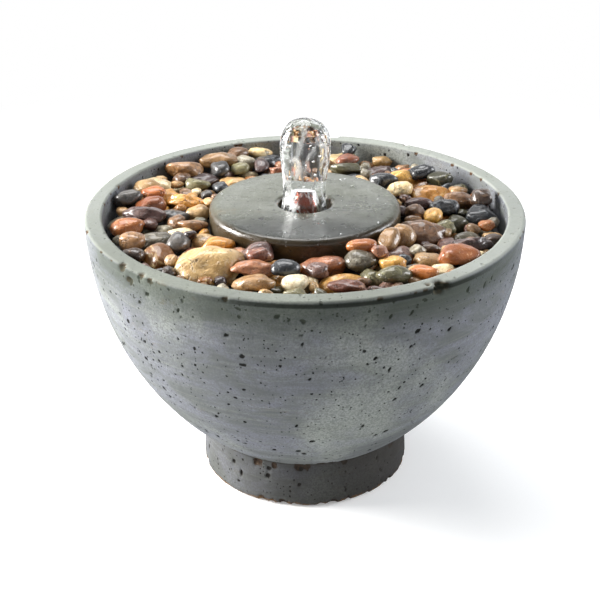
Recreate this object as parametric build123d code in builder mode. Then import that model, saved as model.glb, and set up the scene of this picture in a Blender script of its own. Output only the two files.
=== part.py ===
"""Table-top pebble fountain: a cast stone bowl with a small submersible pump inside.

Frame: millimetres, +Z up, origin at the centre of the foot's underside.  The front is -Y.
From the bottom up: foot ring, bowl and cord stopper, pump on its suction cups, riser tube and nozzle,
pebble tray on four legs, cap stand and stone cap, the pebbles, and the jet of water.
"""

import math
import os
import random

import numpy as np
from build123d import *

os.makedirs("parts", exist_ok=True)

# ---------------------------------------------------------------- driving dimensions
BOWL_RADIUS = 150.0
BOWL_HEIGHT = 198.0
RIM_WIDTH = 12.0

FOOT_RADIUS = 75.5
FOOT_TOP_RADIUS = 73.8
FOOT_HEIGHT = 35.0
HOLLOW_RADIUS = 58.0
HOLLOW_TOP_RADIUS = 56.0
FLOOR_Z = 50.0

CAP_RADIUS = 66.0
CAP_TOP = 199.5
CAP_THICKNESS = 20.0
CAP_HOLE_RADIUS = 18.0

TRAY_RADIUS = 135.0
TRAY_TOP = 176.0
TRAY_THICKNESS = 4.0

SHAFT_Z = 84.0  # height of the rotor's axis, which lies along Y
PUMP_BASE_Z = 56.0
PUMP_WIDTH = 46.0
PUMP_HEIGHT = 48.0
PUMP_FRONT_Y = 9.0  # front face of the motor housing
PUMP_REAR_Y = 52.0

JET_TOP = 260.0


def save(part, name):
    """Label a finished piece and write its STEP file."""
    part.label = name
    export_step(part, f"parts/{name}.step")


def along_y(y):
    """Sketch plane across the rotor's axis: x to the right, up is Z; extrude(-d) goes to +Y."""
    return Plane.XZ.offset(-y)


# ---------------------------------------------------------------- bowl
# Both walls are arcs of ellipses that share one centre, on the rim's level and beyond the axis.
ELLIPSE_X = -18.6
OUTER_DROP = 195.6
INNER_DROP = 178.0
OUTER_REACH = BOWL_RADIUS - ELLIPSE_X
INNER_REACH = OUTER_REACH - RIM_WIDTH


def inner_wall_radius(z):
    """Radius of the bowl's inner wall at height z."""
    share = (BOWL_HEIGHT - z) / INNER_DROP
    return ELLIPSE_X + INNER_REACH * math.sqrt(1 - share * share)


foot_angle = math.degrees(math.asin((BOWL_HEIGHT - FOOT_HEIGHT) / OUTER_DROP))
floor_angle = math.degrees(math.asin((BOWL_HEIGHT - FLOOR_Z) / INNER_DROP))

STOPPER_X = -44.0
STOPPER_TOP_RADIUS = 11.0
STOPPER_BASE_RADIUS = 9.0
SEAT_CLEARANCE = 0.05
CORD_BORE_RADIUS = 3.2
STOPPER_HEAD_RADIUS = 14.0
STOPPER_HEAD = 3.0

with BuildPart() as bowl:
    with BuildSketch(Plane.XZ) as wall_section:
        with BuildLine():
            outside = EllipticalCenterArc(
                (ELLIPSE_X, BOWL_HEIGHT),
                OUTER_REACH,
                OUTER_DROP,
                -foot_angle,
                arc_size=foot_angle,
            )
            inside = EllipticalCenterArc(
                (ELLIPSE_X, BOWL_HEIGHT),
                INNER_REACH,
                INNER_DROP,
                -floor_angle,
                arc_size=floor_angle,
            )
            Line(outside @ 1, inside @ 1)
            Polyline(inside @ 0, (0, FLOOR_Z), (0, FOOT_HEIGHT), outside @ 0)
        make_face()
        corners = wall_section.vertices()
        fillet(corners.group_by(Axis.Y)[-1].sort_by(Axis.X)[-1], radius=3.2)
        fillet(wall_section.vertices().group_by(Axis.Y)[-1].sort_by(Axis.X)[0], radius=1.4)
        fillet(wall_section.vertices().sort_by_distance(inside @ 0)[0], radius=9)
    revolve(axis=Axis.Z)
    # tapered seat of the cord stopper, through the floor
    with BuildSketch(Plane.XY.offset(FOOT_HEIGHT)):
        with Locations((STOPPER_X, 0)):
            Circle(STOPPER_BASE_RADIUS)
    with BuildSketch(Plane.XY.offset(FLOOR_Z)):
        with Locations((STOPPER_X, 0)):
            Circle(STOPPER_TOP_RADIUS)
    loft(mode=Mode.SUBTRACT)
save(bowl.part, "bowl")

with BuildPart() as foot_ring:
    with BuildSketch(Plane.XZ) as foot_section:
        with BuildLine():
            Polyline(
                (HOLLOW_RADIUS, 0),
                (FOOT_RADIUS, 0),
                (FOOT_TOP_RADIUS, FOOT_HEIGHT),
                (HOLLOW_TOP_RADIUS, FOOT_HEIGHT),
                close=True,
            )
        make_face()
        fillet(foot_section.vertices().sort_by_distance((FOOT_RADIUS, 0))[0], radius=1.5)
    revolve(axis=Axis.Z)
    # passage for the cord, under the back of the foot
    with BuildSketch(Plane.XZ.offset(-FOOT_RADIUS - 1)):
        with Locations((0, 3)):
            SlotCenterToCenter(6, 9, rotation=90)
    extrude(amount=FOOT_RADIUS - HOLLOW_RADIUS + 6, mode=Mode.SUBTRACT)
save(foot_ring.part, "foot_ring")

with BuildPart() as cord_stopper:
    with BuildSketch(Plane.XZ):
        with BuildLine():
            Polyline(
                (STOPPER_X + CORD_BORE_RADIUS, FOOT_HEIGHT),
                (STOPPER_X + STOPPER_BASE_RADIUS - SEAT_CLEARANCE, FOOT_HEIGHT),
                (STOPPER_X + STOPPER_TOP_RADIUS - SEAT_CLEARANCE, FLOOR_Z),
                (STOPPER_X + STOPPER_HEAD_RADIUS, FLOOR_Z),
                (STOPPER_X + STOPPER_HEAD_RADIUS - 1, FLOOR_Z + STOPPER_HEAD),
                (STOPPER_X + CORD_BORE_RADIUS, FLOOR_Z + STOPPER_HEAD),
                close=True,
            )
        make_face()
    revolve(axis=Axis((STOPPER_X, 0, 0), (0, 0, 1)))
save(cord_stopper.part, "cord_stopper")

# ---------------------------------------------------------------- pump: motor housing
CORNER = 6.0
SHELL = 2.0
FRONT_WALL = 4.0
WELL_BORE_RADIUS = 7.8
WELL_RADIUS = 9.3
WELL_DEPTH_Y = 38.0
WELL_END_Y = 44.0
BUSH_RADIUS = 3.0
BUSH_LENGTH = 4.0
SEAL_RADIUS = 16.4
SEAL_THICKNESS = 1.7
pump_middle_z = PUMP_BASE_Z + PUMP_HEIGHT / 2
cavity_front_y = PUMP_FRONT_Y + FRONT_WALL
resin_rear_y = PUMP_REAR_Y - 1.0

with BuildPart() as pump_housing:
    with BuildSketch(along_y(PUMP_FRONT_Y)):
        with Locations((0, pump_middle_z)):
            RectangleRounded(PUMP_WIDTH, PUMP_HEIGHT, CORNER)
    extrude(amount=-(PUMP_REAR_Y - PUMP_FRONT_Y))
    with BuildSketch(along_y(cavity_front_y)):
        with Locations((0, pump_middle_z)):
            RectangleRounded(PUMP_WIDTH - 2 * SHELL, PUMP_HEIGHT - 2 * SHELL, CORNER - SHELL)
    extrude(amount=-(PUMP_REAR_Y - cavity_front_y), mode=Mode.SUBTRACT)
    with BuildSketch(along_y(cavity_front_y)):
        with Locations((0, SHAFT_Z)):
            Circle(WELL_RADIUS)
    extrude(amount=-(WELL_END_Y - cavity_front_y))
    with BuildSketch(along_y(PUMP_FRONT_Y)):
        with Locations((0, SHAFT_Z)):
            Circle(WELL_BORE_RADIUS)
    extrude(amount=-(WELL_DEPTH_Y - PUMP_FRONT_Y), mode=Mode.SUBTRACT)
    with BuildSketch(along_y(WELL_DEPTH_Y)):
        with Locations((0, SHAFT_Z)):
            Circle(BUSH_RADIUS)
    extrude(amount=-BUSH_LENGTH, mode=Mode.SUBTRACT)
    with BuildSketch(along_y(PUMP_FRONT_Y)):
        with Locations((0, SHAFT_Z)):
            Circle(SEAL_RADIUS + 1.2)
            Circle(SEAL_RADIUS - 1.2, mode=Mode.SUBTRACT)
    extrude(amount=-SEAL_THICKNESS, mode=Mode.SUBTRACT)
save(pump_housing.part, "pump_housing")

with BuildPart() as volute_seal:
    with BuildSketch(along_y(PUMP_FRONT_Y)):
        with Locations((0, SHAFT_Z)):
            Circle(SEAL_RADIUS + SEAL_THICKNESS / 2)
            Circle(SEAL_RADIUS - SEAL_THICKNESS / 2, mode=Mode.SUBTRACT)
    extrude(amount=-SEAL_THICKNESS)
    chamfer(volute_seal.edges(), 0.35)
save(volute_seal.part, "volute_seal")

# ---------------------------------------------------------------- pump: stator, coil and resin
CORE_FRONT_Y = 17.0
CORE_STACK = 14.0
CORE_HALF_WIDTH = 17.0
CORE_BASE_Z = 62.5
CORE_TOP_Z = 97.0
YOKE_HEIGHT = 6.0
POLE_GAP_HALF = 10.0
yoke_middle_z = CORE_BASE_Z + YOKE_HEIGHT / 2
core_middle_y = CORE_FRONT_Y + CORE_STACK / 2

with BuildPart() as stator_core:
    with BuildSketch(along_y(CORE_FRONT_Y)):
        with BuildLine():
            Polyline(
                (-CORE_HALF_WIDTH, CORE_BASE_Z),
                (CORE_HALF_WIDTH, CORE_BASE_Z),
                (CORE_HALF_WIDTH, CORE_TOP_Z),
                (7, CORE_TOP_Z),
                (7, 75.5),
                (POLE_GAP_HALF, 73.5),
                (POLE_GAP_HALF, CORE_BASE_Z + YOKE_HEIGHT),
                (-POLE_GAP_HALF, CORE_BASE_Z + YOKE_HEIGHT),
                (-POLE_GAP_HALF, 73.5),
                (-7, 75.5),
                (-7, CORE_TOP_Z),
                (-CORE_HALF_WIDTH, CORE_TOP_Z),
                close=True,
            )
        make_face()
        with Locations((0, SHAFT_Z)):
            Circle(WELL_RADIUS + 0.2, mode=Mode.SUBTRACT)
    extrude(amount=-CORE_STACK)
save(stator_core.part, "stator_core")

BOBBIN_HALF_LENGTH = 9.6
BOBBIN_WALL = 1.0
SPOOL_Z = YOKE_HEIGHT + 0.4
SPOOL_Y = CORE_STACK + 0.4
across_yoke = Plane(origin=(0, core_middle_y, yoke_middle_z), x_dir=(0, 1, 0), z_dir=(1, 0, 0))

with BuildPart() as coil_bobbin:
    with BuildSketch(across_yoke.offset(-BOBBIN_HALF_LENGTH)):
        Rectangle(SPOOL_Y + 2 * BOBBIN_WALL, SPOOL_Z + 2 * BOBBIN_WALL)
    extrude(amount=2 * BOBBIN_HALF_LENGTH)
    for end in (-BOBBIN_HALF_LENGTH, BOBBIN_HALF_LENGTH - BOBBIN_WALL):
        with BuildSketch(across_yoke.offset(end)):
            RectangleRounded(21.6, 13.6, 2)
        extrude(amount=BOBBIN_WALL)
    with BuildSketch(across_yoke.offset(-BOBBIN_HALF_LENGTH)):
        Rectangle(SPOOL_Y, SPOOL_Z)
    extrude(amount=2 * BOBBIN_HALF_LENGTH, mode=Mode.SUBTRACT)
save(coil_bobbin.part, "coil_bobbin")

with BuildPart() as stator_coil:
    coil_half = BOBBIN_HALF_LENGTH - BOBBIN_WALL
    with BuildSketch(across_yoke.offset(-coil_half)):
        RectangleRounded(20.8, 12.8, 2)
        Rectangle(SPOOL_Y + 2 * BOBBIN_WALL, SPOOL_Z + 2 * BOBBIN_WALL, mode=Mode.SUBTRACT)
    extrude(amount=2 * coil_half)
save(stator_coil.part, "stator_coil")

GLAND_X = 12.0
GLAND_Z = 96.5
GLAND_RADIUS = 5.0
GLAND_TIP_RADIUS = 3.8
GLAND_TIP_Y = 64.0
GLAND_BORE_RADIUS = 2.8

with BuildPart() as cable_gland:
    with BuildSketch(Plane.XY.offset(GLAND_Z)):
        with BuildLine():
            Polyline(
                (GLAND_X, resin_rear_y - 6),
                (GLAND_X + GLAND_RADIUS, resin_rear_y - 6),
                (GLAND_X + GLAND_RADIUS, resin_rear_y + 2),
                (GLAND_X + GLAND_TIP_RADIUS, GLAND_TIP_Y),
                (GLAND_X + GLAND_BORE_RADIUS, GLAND_TIP_Y),
                (GLAND_X + GLAND_BORE_RADIUS, resin_rear_y - 4),
                (GLAND_X, resin_rear_y - 4),
                close=True,
            )
        make_face()
    revolve(axis=Axis((GLAND_X, 0, GLAND_Z), (0, 1, 0)))
save(cable_gland.part, "cable_gland")

with BuildPart() as potting_resin:
    with BuildSketch(along_y(cavity_front_y)):
        with Locations((0, pump_middle_z)):
            RectangleRounded(PUMP_WIDTH - 2 * SHELL, PUMP_HEIGHT - 2 * SHELL, CORNER - SHELL)
        with Locations((0, SHAFT_Z)):
            Circle(WELL_RADIUS, mode=Mode.SUBTRACT)
    extrude(amount=-(resin_rear_y - cavity_front_y))
    with BuildSketch(along_y(WELL_END_Y)):
        with Locations((0, SHAFT_Z)):
            Circle(WELL_RADIUS)
    extrude(amount=-(resin_rear_y - WELL_END_Y))
    for embedded in (stator_core, coil_bobbin, stator_coil):
        add(embedded.part, mode=Mode.SUBTRACT)
    with BuildSketch(along_y(resin_rear_y - 6)):
        with Locations((GLAND_X, GLAND_Z)):
            Circle(GLAND_RADIUS)
    extrude(amount=-6, mode=Mode.SUBTRACT)
save(potting_resin.part, "potting_resin")

# ---------------------------------------------------------------- pump: rotor
SHAFT_RADIUS = 1.0
RUNNING_CLEARANCE = 0.05
SHAFT_FRONT_Y = -6.5
SHAFT_REAR_Y = 41.5
MAGNET_RADIUS = 7.3
MAGNET_FRONT_Y = 10.0
MAGNET_REAR_Y = 34.0
SLEEVE_RADIUS = 3.0
IMPELLER_RADIUS = 13.0
VANE_COUNT = 6
VANE_FRONT_Y = -2.4
BACKPLATE_Y = 4.8
BACKPLATE = 1.6

with BuildPart() as motor_shaft:
    with BuildSketch(along_y(SHAFT_FRONT_Y)):
        with Locations((0, SHAFT_Z)):
            Circle(SHAFT_RADIUS)
    extrude(amount=-(SHAFT_REAR_Y - SHAFT_FRONT_Y))
save(motor_shaft.part, "motor_shaft")

with BuildPart() as rotor_magnet:
    with BuildSketch(along_y(MAGNET_FRONT_Y)):
        with Locations((0, SHAFT_Z)):
            Circle(MAGNET_RADIUS)
            Circle(SLEEVE_RADIUS, mode=Mode.SUBTRACT)
    extrude(amount=-(MAGNET_REAR_Y - MAGNET_FRONT_Y))
    chamfer(rotor_magnet.edges().filter_by(GeomType.CIRCLE).group_by(SortBy.RADIUS)[-1], 0.6)
save(rotor_magnet.part, "rotor_magnet")

VANE_SWEEP = 14.0  # degrees that a vane leans back between hub and tip
VANE_THICKNESS = 1.4
with BuildPart() as impeller:
    with BuildSketch(along_y(VANE_FRONT_Y)):
        with Locations((0, SHAFT_Z)):
            Circle(3.8)
    extrude(amount=-(MAGNET_FRONT_Y - VANE_FRONT_Y))
    with BuildSketch(along_y(BACKPLATE_Y)):
        with Locations((0, SHAFT_Z)):
            Circle(IMPELLER_RADIUS)
    extrude(amount=-BACKPLATE)
    with BuildSketch(along_y(MAGNET_FRONT_Y)):
        with Locations((0, SHAFT_Z)):
            Circle(SLEEVE_RADIUS)
    extrude(amount=-(MAGNET_REAR_Y - MAGNET_FRONT_Y))
    with BuildSketch(along_y(VANE_FRONT_Y)) as vanes:
        for k in range(VANE_COUNT):
            root_angle = math.radians(k * 360 / VANE_COUNT)
            tip_angle = root_angle + math.radians(VANE_SWEEP)
            with BuildLine():
                blade = SagittaArc(
                    (3.2 * math.cos(root_angle), SHAFT_Z + 3.2 * math.sin(root_angle)),
                    (12.2 * math.cos(tip_angle), SHAFT_Z + 12.2 * math.sin(tip_angle)),
                    0.9,
                )
            SlotArc(blade, VANE_THICKNESS)
    extrude(amount=-(BACKPLATE_Y - VANE_FRONT_Y))
    with BuildSketch(along_y(VANE_FRONT_Y)):
        with Locations((0, SHAFT_Z)):
            Circle(SHAFT_RADIUS + RUNNING_CLEARANCE)
    extrude(amount=-(MAGNET_REAR_Y - VANE_FRONT_Y), mode=Mode.SUBTRACT)
save(impeller.part, "impeller")

FRONT_BUSH_Y = -7.0
for bush_name, bush_y, bore_from in (
    ("shaft_bush_front", FRONT_BUSH_Y, SHAFT_FRONT_Y),
    ("shaft_bush_rear", WELL_DEPTH_Y, WELL_DEPTH_Y),
):
    bore_depth = min(SHAFT_REAR_Y, bush_y + BUSH_LENGTH) - bore_from
    with BuildPart() as shaft_bush:
        with BuildSketch(along_y(bush_y)):
            with Locations((0, SHAFT_Z)):
                Circle(BUSH_RADIUS)
        extrude(amount=-BUSH_LENGTH)
        with BuildSketch(along_y(bore_from)):
            with Locations((0, SHAFT_Z)):
                Circle(SHAFT_RADIUS)
        extrude(amount=-bore_depth, mode=Mode.SUBTRACT)
    save(shaft_bush.part, bush_name)

# ---------------------------------------------------------------- pump: volute and outlet
VOLUTE_RADIUS = 17.0
CHAMBER_RADIUS = 15.0
FLANGE_RADIUS = 17.9
VOLUTE_FRONT_Y = -7.0
OUTLET_RADIUS = 6.5
OUTLET_BORE = 4.7
OUTLET_TOP = 118.0
INTAKE_RADIUS = 6.2
SPIDER_ARMS = 3

with BuildPart() as volute_cover:
    with BuildSketch(along_y(VOLUTE_FRONT_Y)):
        with Locations((0, SHAFT_Z)):
            Circle(VOLUTE_RADIUS)
    extrude(amount=-(PUMP_FRONT_Y - VOLUTE_FRONT_Y))
    with BuildSketch(along_y(PUMP_FRONT_Y - 2)):
        with Locations((0, SHAFT_Z)):
            Circle(FLANGE_RADIUS)
    extrude(amount=-2)
    with BuildSketch(Plane.XY.offset(SHAFT_Z + 12)):
        Circle(OUTLET_RADIUS)
    extrude(amount=OUTLET_TOP - SHAFT_Z - 12)
    with BuildSketch(along_y(VOLUTE_FRONT_Y + 2)):
        with Locations((0, SHAFT_Z)):
            Circle(CHAMBER_RADIUS)
    extrude(amount=-(PUMP_FRONT_Y - VOLUTE_FRONT_Y - 2), mode=Mode.SUBTRACT)
    with BuildSketch(Plane.XY.offset(SHAFT_Z + 12)):
        Circle(OUTLET_BORE)
    extrude(amount=OUTLET_TOP - SHAFT_Z - 12, mode=Mode.SUBTRACT)
    with BuildSketch(along_y(VOLUTE_FRONT_Y)):
        with Locations((0, SHAFT_Z)):
            Circle(INTAKE_RADIUS)
    extrude(amount=-2, mode=Mode.SUBTRACT)
    # spider that carries the front bush in the middle of the intake
    with BuildSketch(along_y(VOLUTE_FRONT_Y)):
        with Locations((0, SHAFT_Z)):
            with PolarLocations(INTAKE_RADIUS / 2 + 1, SPIDER_ARMS, start_angle=90):
                Rectangle(INTAKE_RADIUS, 1.6)
            Circle(BUSH_RADIUS + 1)
            Circle(BUSH_RADIUS, mode=Mode.SUBTRACT)
    extrude(amount=-2)
    with BuildSketch(along_y(VOLUTE_FRONT_Y)):
        with Locations((0, SHAFT_Z)):
            Circle(BUSH_RADIUS + 1)
            Circle(BUSH_RADIUS, mode=Mode.SUBTRACT)
    extrude(amount=-BUSH_LENGTH)
save(volute_cover.part, "volute_cover")

# ---------------------------------------------------------------- pump: strainer and flow slider
STRAINER_REAR_Y = 8.6
STRAINER_FRONT_Y = -16.0
STRAINER_WALL = 1.8
SLOT_WIDTH = 2.2
SLIDER_HALF_WIDTH = 8.2
SLIDER_THICKNESS = 1.8
SLIDER_HEIGHT = 20.0
RAIL_BASE_Z = 60.0
RAIL_TOP_Z = 102.0
LATCH_CLEARANCE = 0.15

with BuildPart() as strainer_cover:
    with BuildSketch(along_y(STRAINER_FRONT_Y)):
        with Locations((0, pump_middle_z)):
            RectangleRounded(PUMP_WIDTH, PUMP_HEIGHT, CORNER)
    extrude(amount=-(STRAINER_REAR_Y - STRAINER_FRONT_Y))
    fillet(strainer_cover.faces().sort_by(Axis.Y)[0].edges(), radius=1.5)
    with BuildSketch(along_y(STRAINER_FRONT_Y + STRAINER_WALL)):
        with Locations((0, pump_middle_z)):
            RectangleRounded(
                PUMP_WIDTH - 2 * STRAINER_WALL,
                PUMP_HEIGHT - 2 * STRAINER_WALL,
                CORNER - STRAINER_WALL,
            )
    extrude(amount=-(STRAINER_REAR_Y - STRAINER_FRONT_Y - STRAINER_WALL), mode=Mode.SUBTRACT)
    # notch that lets the cover slide forward off the outlet
    with BuildSketch(Plane.XY.offset(PUMP_BASE_Z + PUMP_HEIGHT - 8)):
        Circle(OUTLET_RADIUS + 0.6)
        with Locations((0, STRAINER_REAR_Y / 2 + 1)):
            Rectangle(2 * (OUTLET_RADIUS + 0.6), STRAINER_REAR_Y + 2)
    extrude(amount=10, mode=Mode.SUBTRACT)
    # intake slots: tall ones at both sides of the front, short ones behind the slider
    with BuildSketch(along_y(STRAINER_FRONT_Y)):
        with Locations((0, pump_middle_z)):
            for side in (-1, 1):
                with Locations((side * 15.6, 0)):
                    with GridLocations(3.6, 0, 3, 1):
                        Rectangle(SLOT_WIDTH, 34)
        with Locations((0, RAIL_BASE_Z + 12)):
            with GridLocations(4.0, 0, 3, 1):
                Rectangle(SLOT_WIDTH, 16)
    extrude(amount=-STRAINER_WALL, mode=Mode.SUBTRACT)
    # side slots
    with BuildSketch(Plane.YZ.offset(-PUMP_WIDTH / 2)):
        with Locations((-4.0, pump_middle_z)):
            with GridLocations(4.4, 0, 4, 1):
                Rectangle(SLOT_WIDTH, 30)
    extrude(amount=PUMP_WIDTH, mode=Mode.SUBTRACT)
    # rails that hold the flow slider
    for side in (-1, 1):
        with BuildSketch(Plane.XY.offset(RAIL_BASE_Z)):
            with Locations((side * 9.4, STRAINER_FRONT_Y - 1.15)):
                Rectangle(1.8, 3.9)
            with Locations((side * 8.75, STRAINER_FRONT_Y - 2.55)):
                Rectangle(3.1, 1.1)
        extrude(amount=RAIL_TOP_Z - RAIL_BASE_Z)
    # latch tongues beside the motor housing
    with BuildSketch(Plane.XY.offset(SHAFT_Z - 8)):
        for side in (-1, 1):
            with Locations((side * (PUMP_WIDTH / 2 + LATCH_CLEARANCE + 0.7), 7.0)):
                Rectangle(1.4, 14)
    extrude(amount=12)
    with BuildSketch(Plane.XY.offset(SHAFT_Z - 8)):
        for side in (-1, 1):
            with Locations((side * (PUMP_WIDTH / 2), 1.5)):
                Rectangle(1.2, 3)
    extrude(amount=12)
save(strainer_cover.part, "strainer_cover")

with BuildPart() as flow_slider:
    slider_plate_y = STRAINER_FRONT_Y - 0.1
    with BuildSketch(Plane.XY.offset(RAIL_TOP_Z - SLIDER_HEIGHT)):
        with Locations((0, slider_plate_y - SLIDER_THICKNESS / 2)):
            Rectangle(2 * SLIDER_HALF_WIDTH, SLIDER_THICKNESS)
    extrude(amount=SLIDER_HEIGHT)
    for rib in range(3):
        with BuildSketch(Plane.XY.offset(RAIL_TOP_Z - SLIDER_HEIGHT + 6 + 3 * rib)):
            with Locations((0, slider_plate_y - SLIDER_THICKNESS - 1)):
                Rectangle(11, 2.4)
        extrude(amount=1.4)
save(flow_slider.part, "flow_slider")

# ---------------------------------------------------------------- pump: suction cups
CUP_RADIUS = 8.0
with BuildPart() as suction_cup:
    with BuildSketch(Plane.XZ):
        with BuildLine():
            Polyline(
                (0, FLOOR_Z + 2.0),
                (4.0, FLOOR_Z + 2.0),
                (CUP_RADIUS, FLOOR_Z),
                (CUP_RADIUS, FLOOR_Z + 0.7),
                (4.2, FLOOR_Z + 3.4),
                (2.8, FLOOR_Z + 4.4),
                (2.8, PUMP_BASE_Z),
                (0, PUMP_BASE_Z),
                close=True,
            )
        make_face()
    revolve(axis=Axis.Z)

with BuildPart() as suction_cups:
    with Locations(*[(x, y, 0) for x in (-14, 14) for y in (18, 43)]):
        add(suction_cup.part)
save(suction_cups.part, "suction_cups")

# ---------------------------------------------------------------- riser tube and nozzle
RISER_RADIUS = 9.0
RISER_BASE = PUMP_BASE_Z + PUMP_HEIGHT + 0.8
RISER_TOP = 178.0
NOZZLE_BORE = 4.0
NOZZLE_RADIUS = 9.5
NOZZLE_TIP_RADIUS = 5.2
NOZZLE_SHOULDER = 190.0
NOZZLE_TIP = 210.0

with BuildPart() as riser_tube:
    with BuildSketch(Plane.XY.offset(RISER_BASE)):
        Circle(RISER_RADIUS)
        Circle(OUTLET_RADIUS, mode=Mode.SUBTRACT)
    extrude(amount=RISER_TOP - RISER_BASE)
save(riser_tube.part, "riser_tube")

with BuildPart() as nozzle:
    with BuildSketch(Plane.XZ):
        with BuildLine():
            Polyline(
                (NOZZLE_BORE, RISER_TOP - 14),
                (OUTLET_RADIUS, RISER_TOP - 14),
                (OUTLET_RADIUS, RISER_TOP),
                (NOZZLE_RADIUS, RISER_TOP),
                (NOZZLE_RADIUS, NOZZLE_SHOULDER),
                (NOZZLE_TIP_RADIUS, NOZZLE_TIP),
                (NOZZLE_BORE, NOZZLE_TIP),
                close=True,
            )
        make_face()
    revolve(axis=Axis.Z)
save(nozzle.part, "nozzle")

# ---------------------------------------------------------------- pebble tray and its legs
LEG_RADIUS = 7.0
LEG_WALL = 1.8
LEG_OFFSET = 37.0
SOCKET_DEPTH = 14.0
RIB_COUNT = 8
tray_underside = TRAY_TOP - TRAY_THICKNESS
leg_places = GridLocations(2 * LEG_OFFSET, 2 * LEG_OFFSET, 2, 2).locations

with BuildPart() as pebble_tray:
    with BuildSketch(Plane.XY.offset(tray_underside)):
        Circle(TRAY_RADIUS)
        Circle(RISER_RADIUS + 3, mode=Mode.SUBTRACT)
        for ring_radius, count in ((80, 24), (107, 32)):
            with PolarLocations(ring_radius, count, start_angle=180 / count):
                Rectangle(19, 3.2, mode=Mode.SUBTRACT)
    extrude(amount=TRAY_THICKNESS)
    with BuildSketch(Plane.XY.offset(tray_underside - 8)):
        with PolarLocations(72, RIB_COUNT):
            Rectangle(108, 2.4)
        Circle(20)
        Circle(RISER_RADIUS + 3, mode=Mode.SUBTRACT)
    extrude(amount=8)
    with BuildSketch(Plane.XY.offset(tray_underside - SOCKET_DEPTH)):
        with Locations(*leg_places):
            Circle(LEG_RADIUS + 2)
    extrude(amount=SOCKET_DEPTH)
    with BuildSketch(Plane.XY.offset(tray_underside - SOCKET_DEPTH)):
        with Locations(*leg_places):
            Circle(LEG_RADIUS)
    extrude(amount=SOCKET_DEPTH, mode=Mode.SUBTRACT)
save(pebble_tray.part, "pebble_tray")

with BuildPart() as tray_legs:
    with BuildSketch(Plane.XY.offset(FLOOR_Z)):
        with Locations(*leg_places):
            Circle(LEG_RADIUS)
            Circle(LEG_RADIUS - LEG_WALL, mode=Mode.SUBTRACT)
    extrude(amount=tray_underside - FLOOR_Z)
save(tray_legs.part, "tray_legs")

# ---------------------------------------------------------------- cap stand and stone cap
STAND_RADIUS = 56.5
STAND_WALL = 8.0
CAP_RECESS = 3.0
cap_base = CAP_TOP - CAP_THICKNESS
stand_top = cap_base + CAP_RECESS

with BuildPart() as cap_stand:
    with BuildSketch(Plane.XY.offset(TRAY_TOP)):
        Circle(STAND_RADIUS)
        Circle(STAND_RADIUS - STAND_WALL, mode=Mode.SUBTRACT)
    extrude(amount=stand_top - TRAY_TOP)
    with BuildSketch(Plane.XY.offset(TRAY_TOP)):
        with PolarLocations(STAND_RADIUS - STAND_WALL / 2, 12):
            Rectangle(2 * STAND_WALL, 10)
    extrude(amount=5, mode=Mode.SUBTRACT)
save(cap_stand.part, "cap_stand")

with BuildPart() as cap_disc:
    with BuildSketch(Plane.XZ) as cap_section:
        with BuildLine():
            Polyline(
                (CAP_HOLE_RADIUS, CAP_TOP),
                (CAP_RADIUS, CAP_TOP),
                (CAP_RADIUS, cap_base),
                (STAND_RADIUS + 0.5, cap_base),
                (STAND_RADIUS + 0.5, stand_top),
                (CAP_HOLE_RADIUS, stand_top),
                close=True,
            )
        make_face()
        edge_corners = cap_section.vertices().group_by(Axis.Y)[-1].sort_by(Axis.X)
        fillet(edge_corners[-1], radius=5)
        fillet(edge_corners[0], radius=3)
        fillet(cap_section.vertices().sort_by_distance((CAP_RADIUS, cap_base))[0], radius=3)
    revolve(axis=Axis.Z)
save(cap_disc.part, "cap_disc")

# ---------------------------------------------------------------- water jet
JET_BASE = 185.0
JET_BASE_RADIUS = 14.8
JET_WAIST_RADIUS = 14.2
JET_HEAD_RADIUS = 17.2
JET_WAIST_Z = 206.0
JET_CROWN_RADIUS = 1.5

with BuildPart() as water_jet:
    with BuildSketch(Plane.XZ):
        with BuildLine():
            side = ThreePointArc(
                (JET_BASE_RADIUS, JET_BASE),
                (JET_WAIST_RADIUS, JET_WAIST_Z),
                (JET_HEAD_RADIUS, JET_TOP - JET_HEAD_RADIUS),
            )
            ThreePointArc(
                side @ 1,
                (JET_HEAD_RADIUS * 0.72, JET_TOP - JET_HEAD_RADIUS * 0.3),
                (JET_CROWN_RADIUS, JET_TOP),
            )
            Polyline(
                (JET_CROWN_RADIUS, JET_TOP),
                (0, JET_TOP),
                (0, NOZZLE_TIP),
                (NOZZLE_TIP_RADIUS, NOZZLE_TIP),
                (NOZZLE_RADIUS, NOZZLE_SHOULDER),
                (NOZZLE_RADIUS, JET_BASE),
                side @ 0,
            )
        make_face()
    revolve(axis=Axis.Z)
save(water_jet.part, "water_jet")

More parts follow.
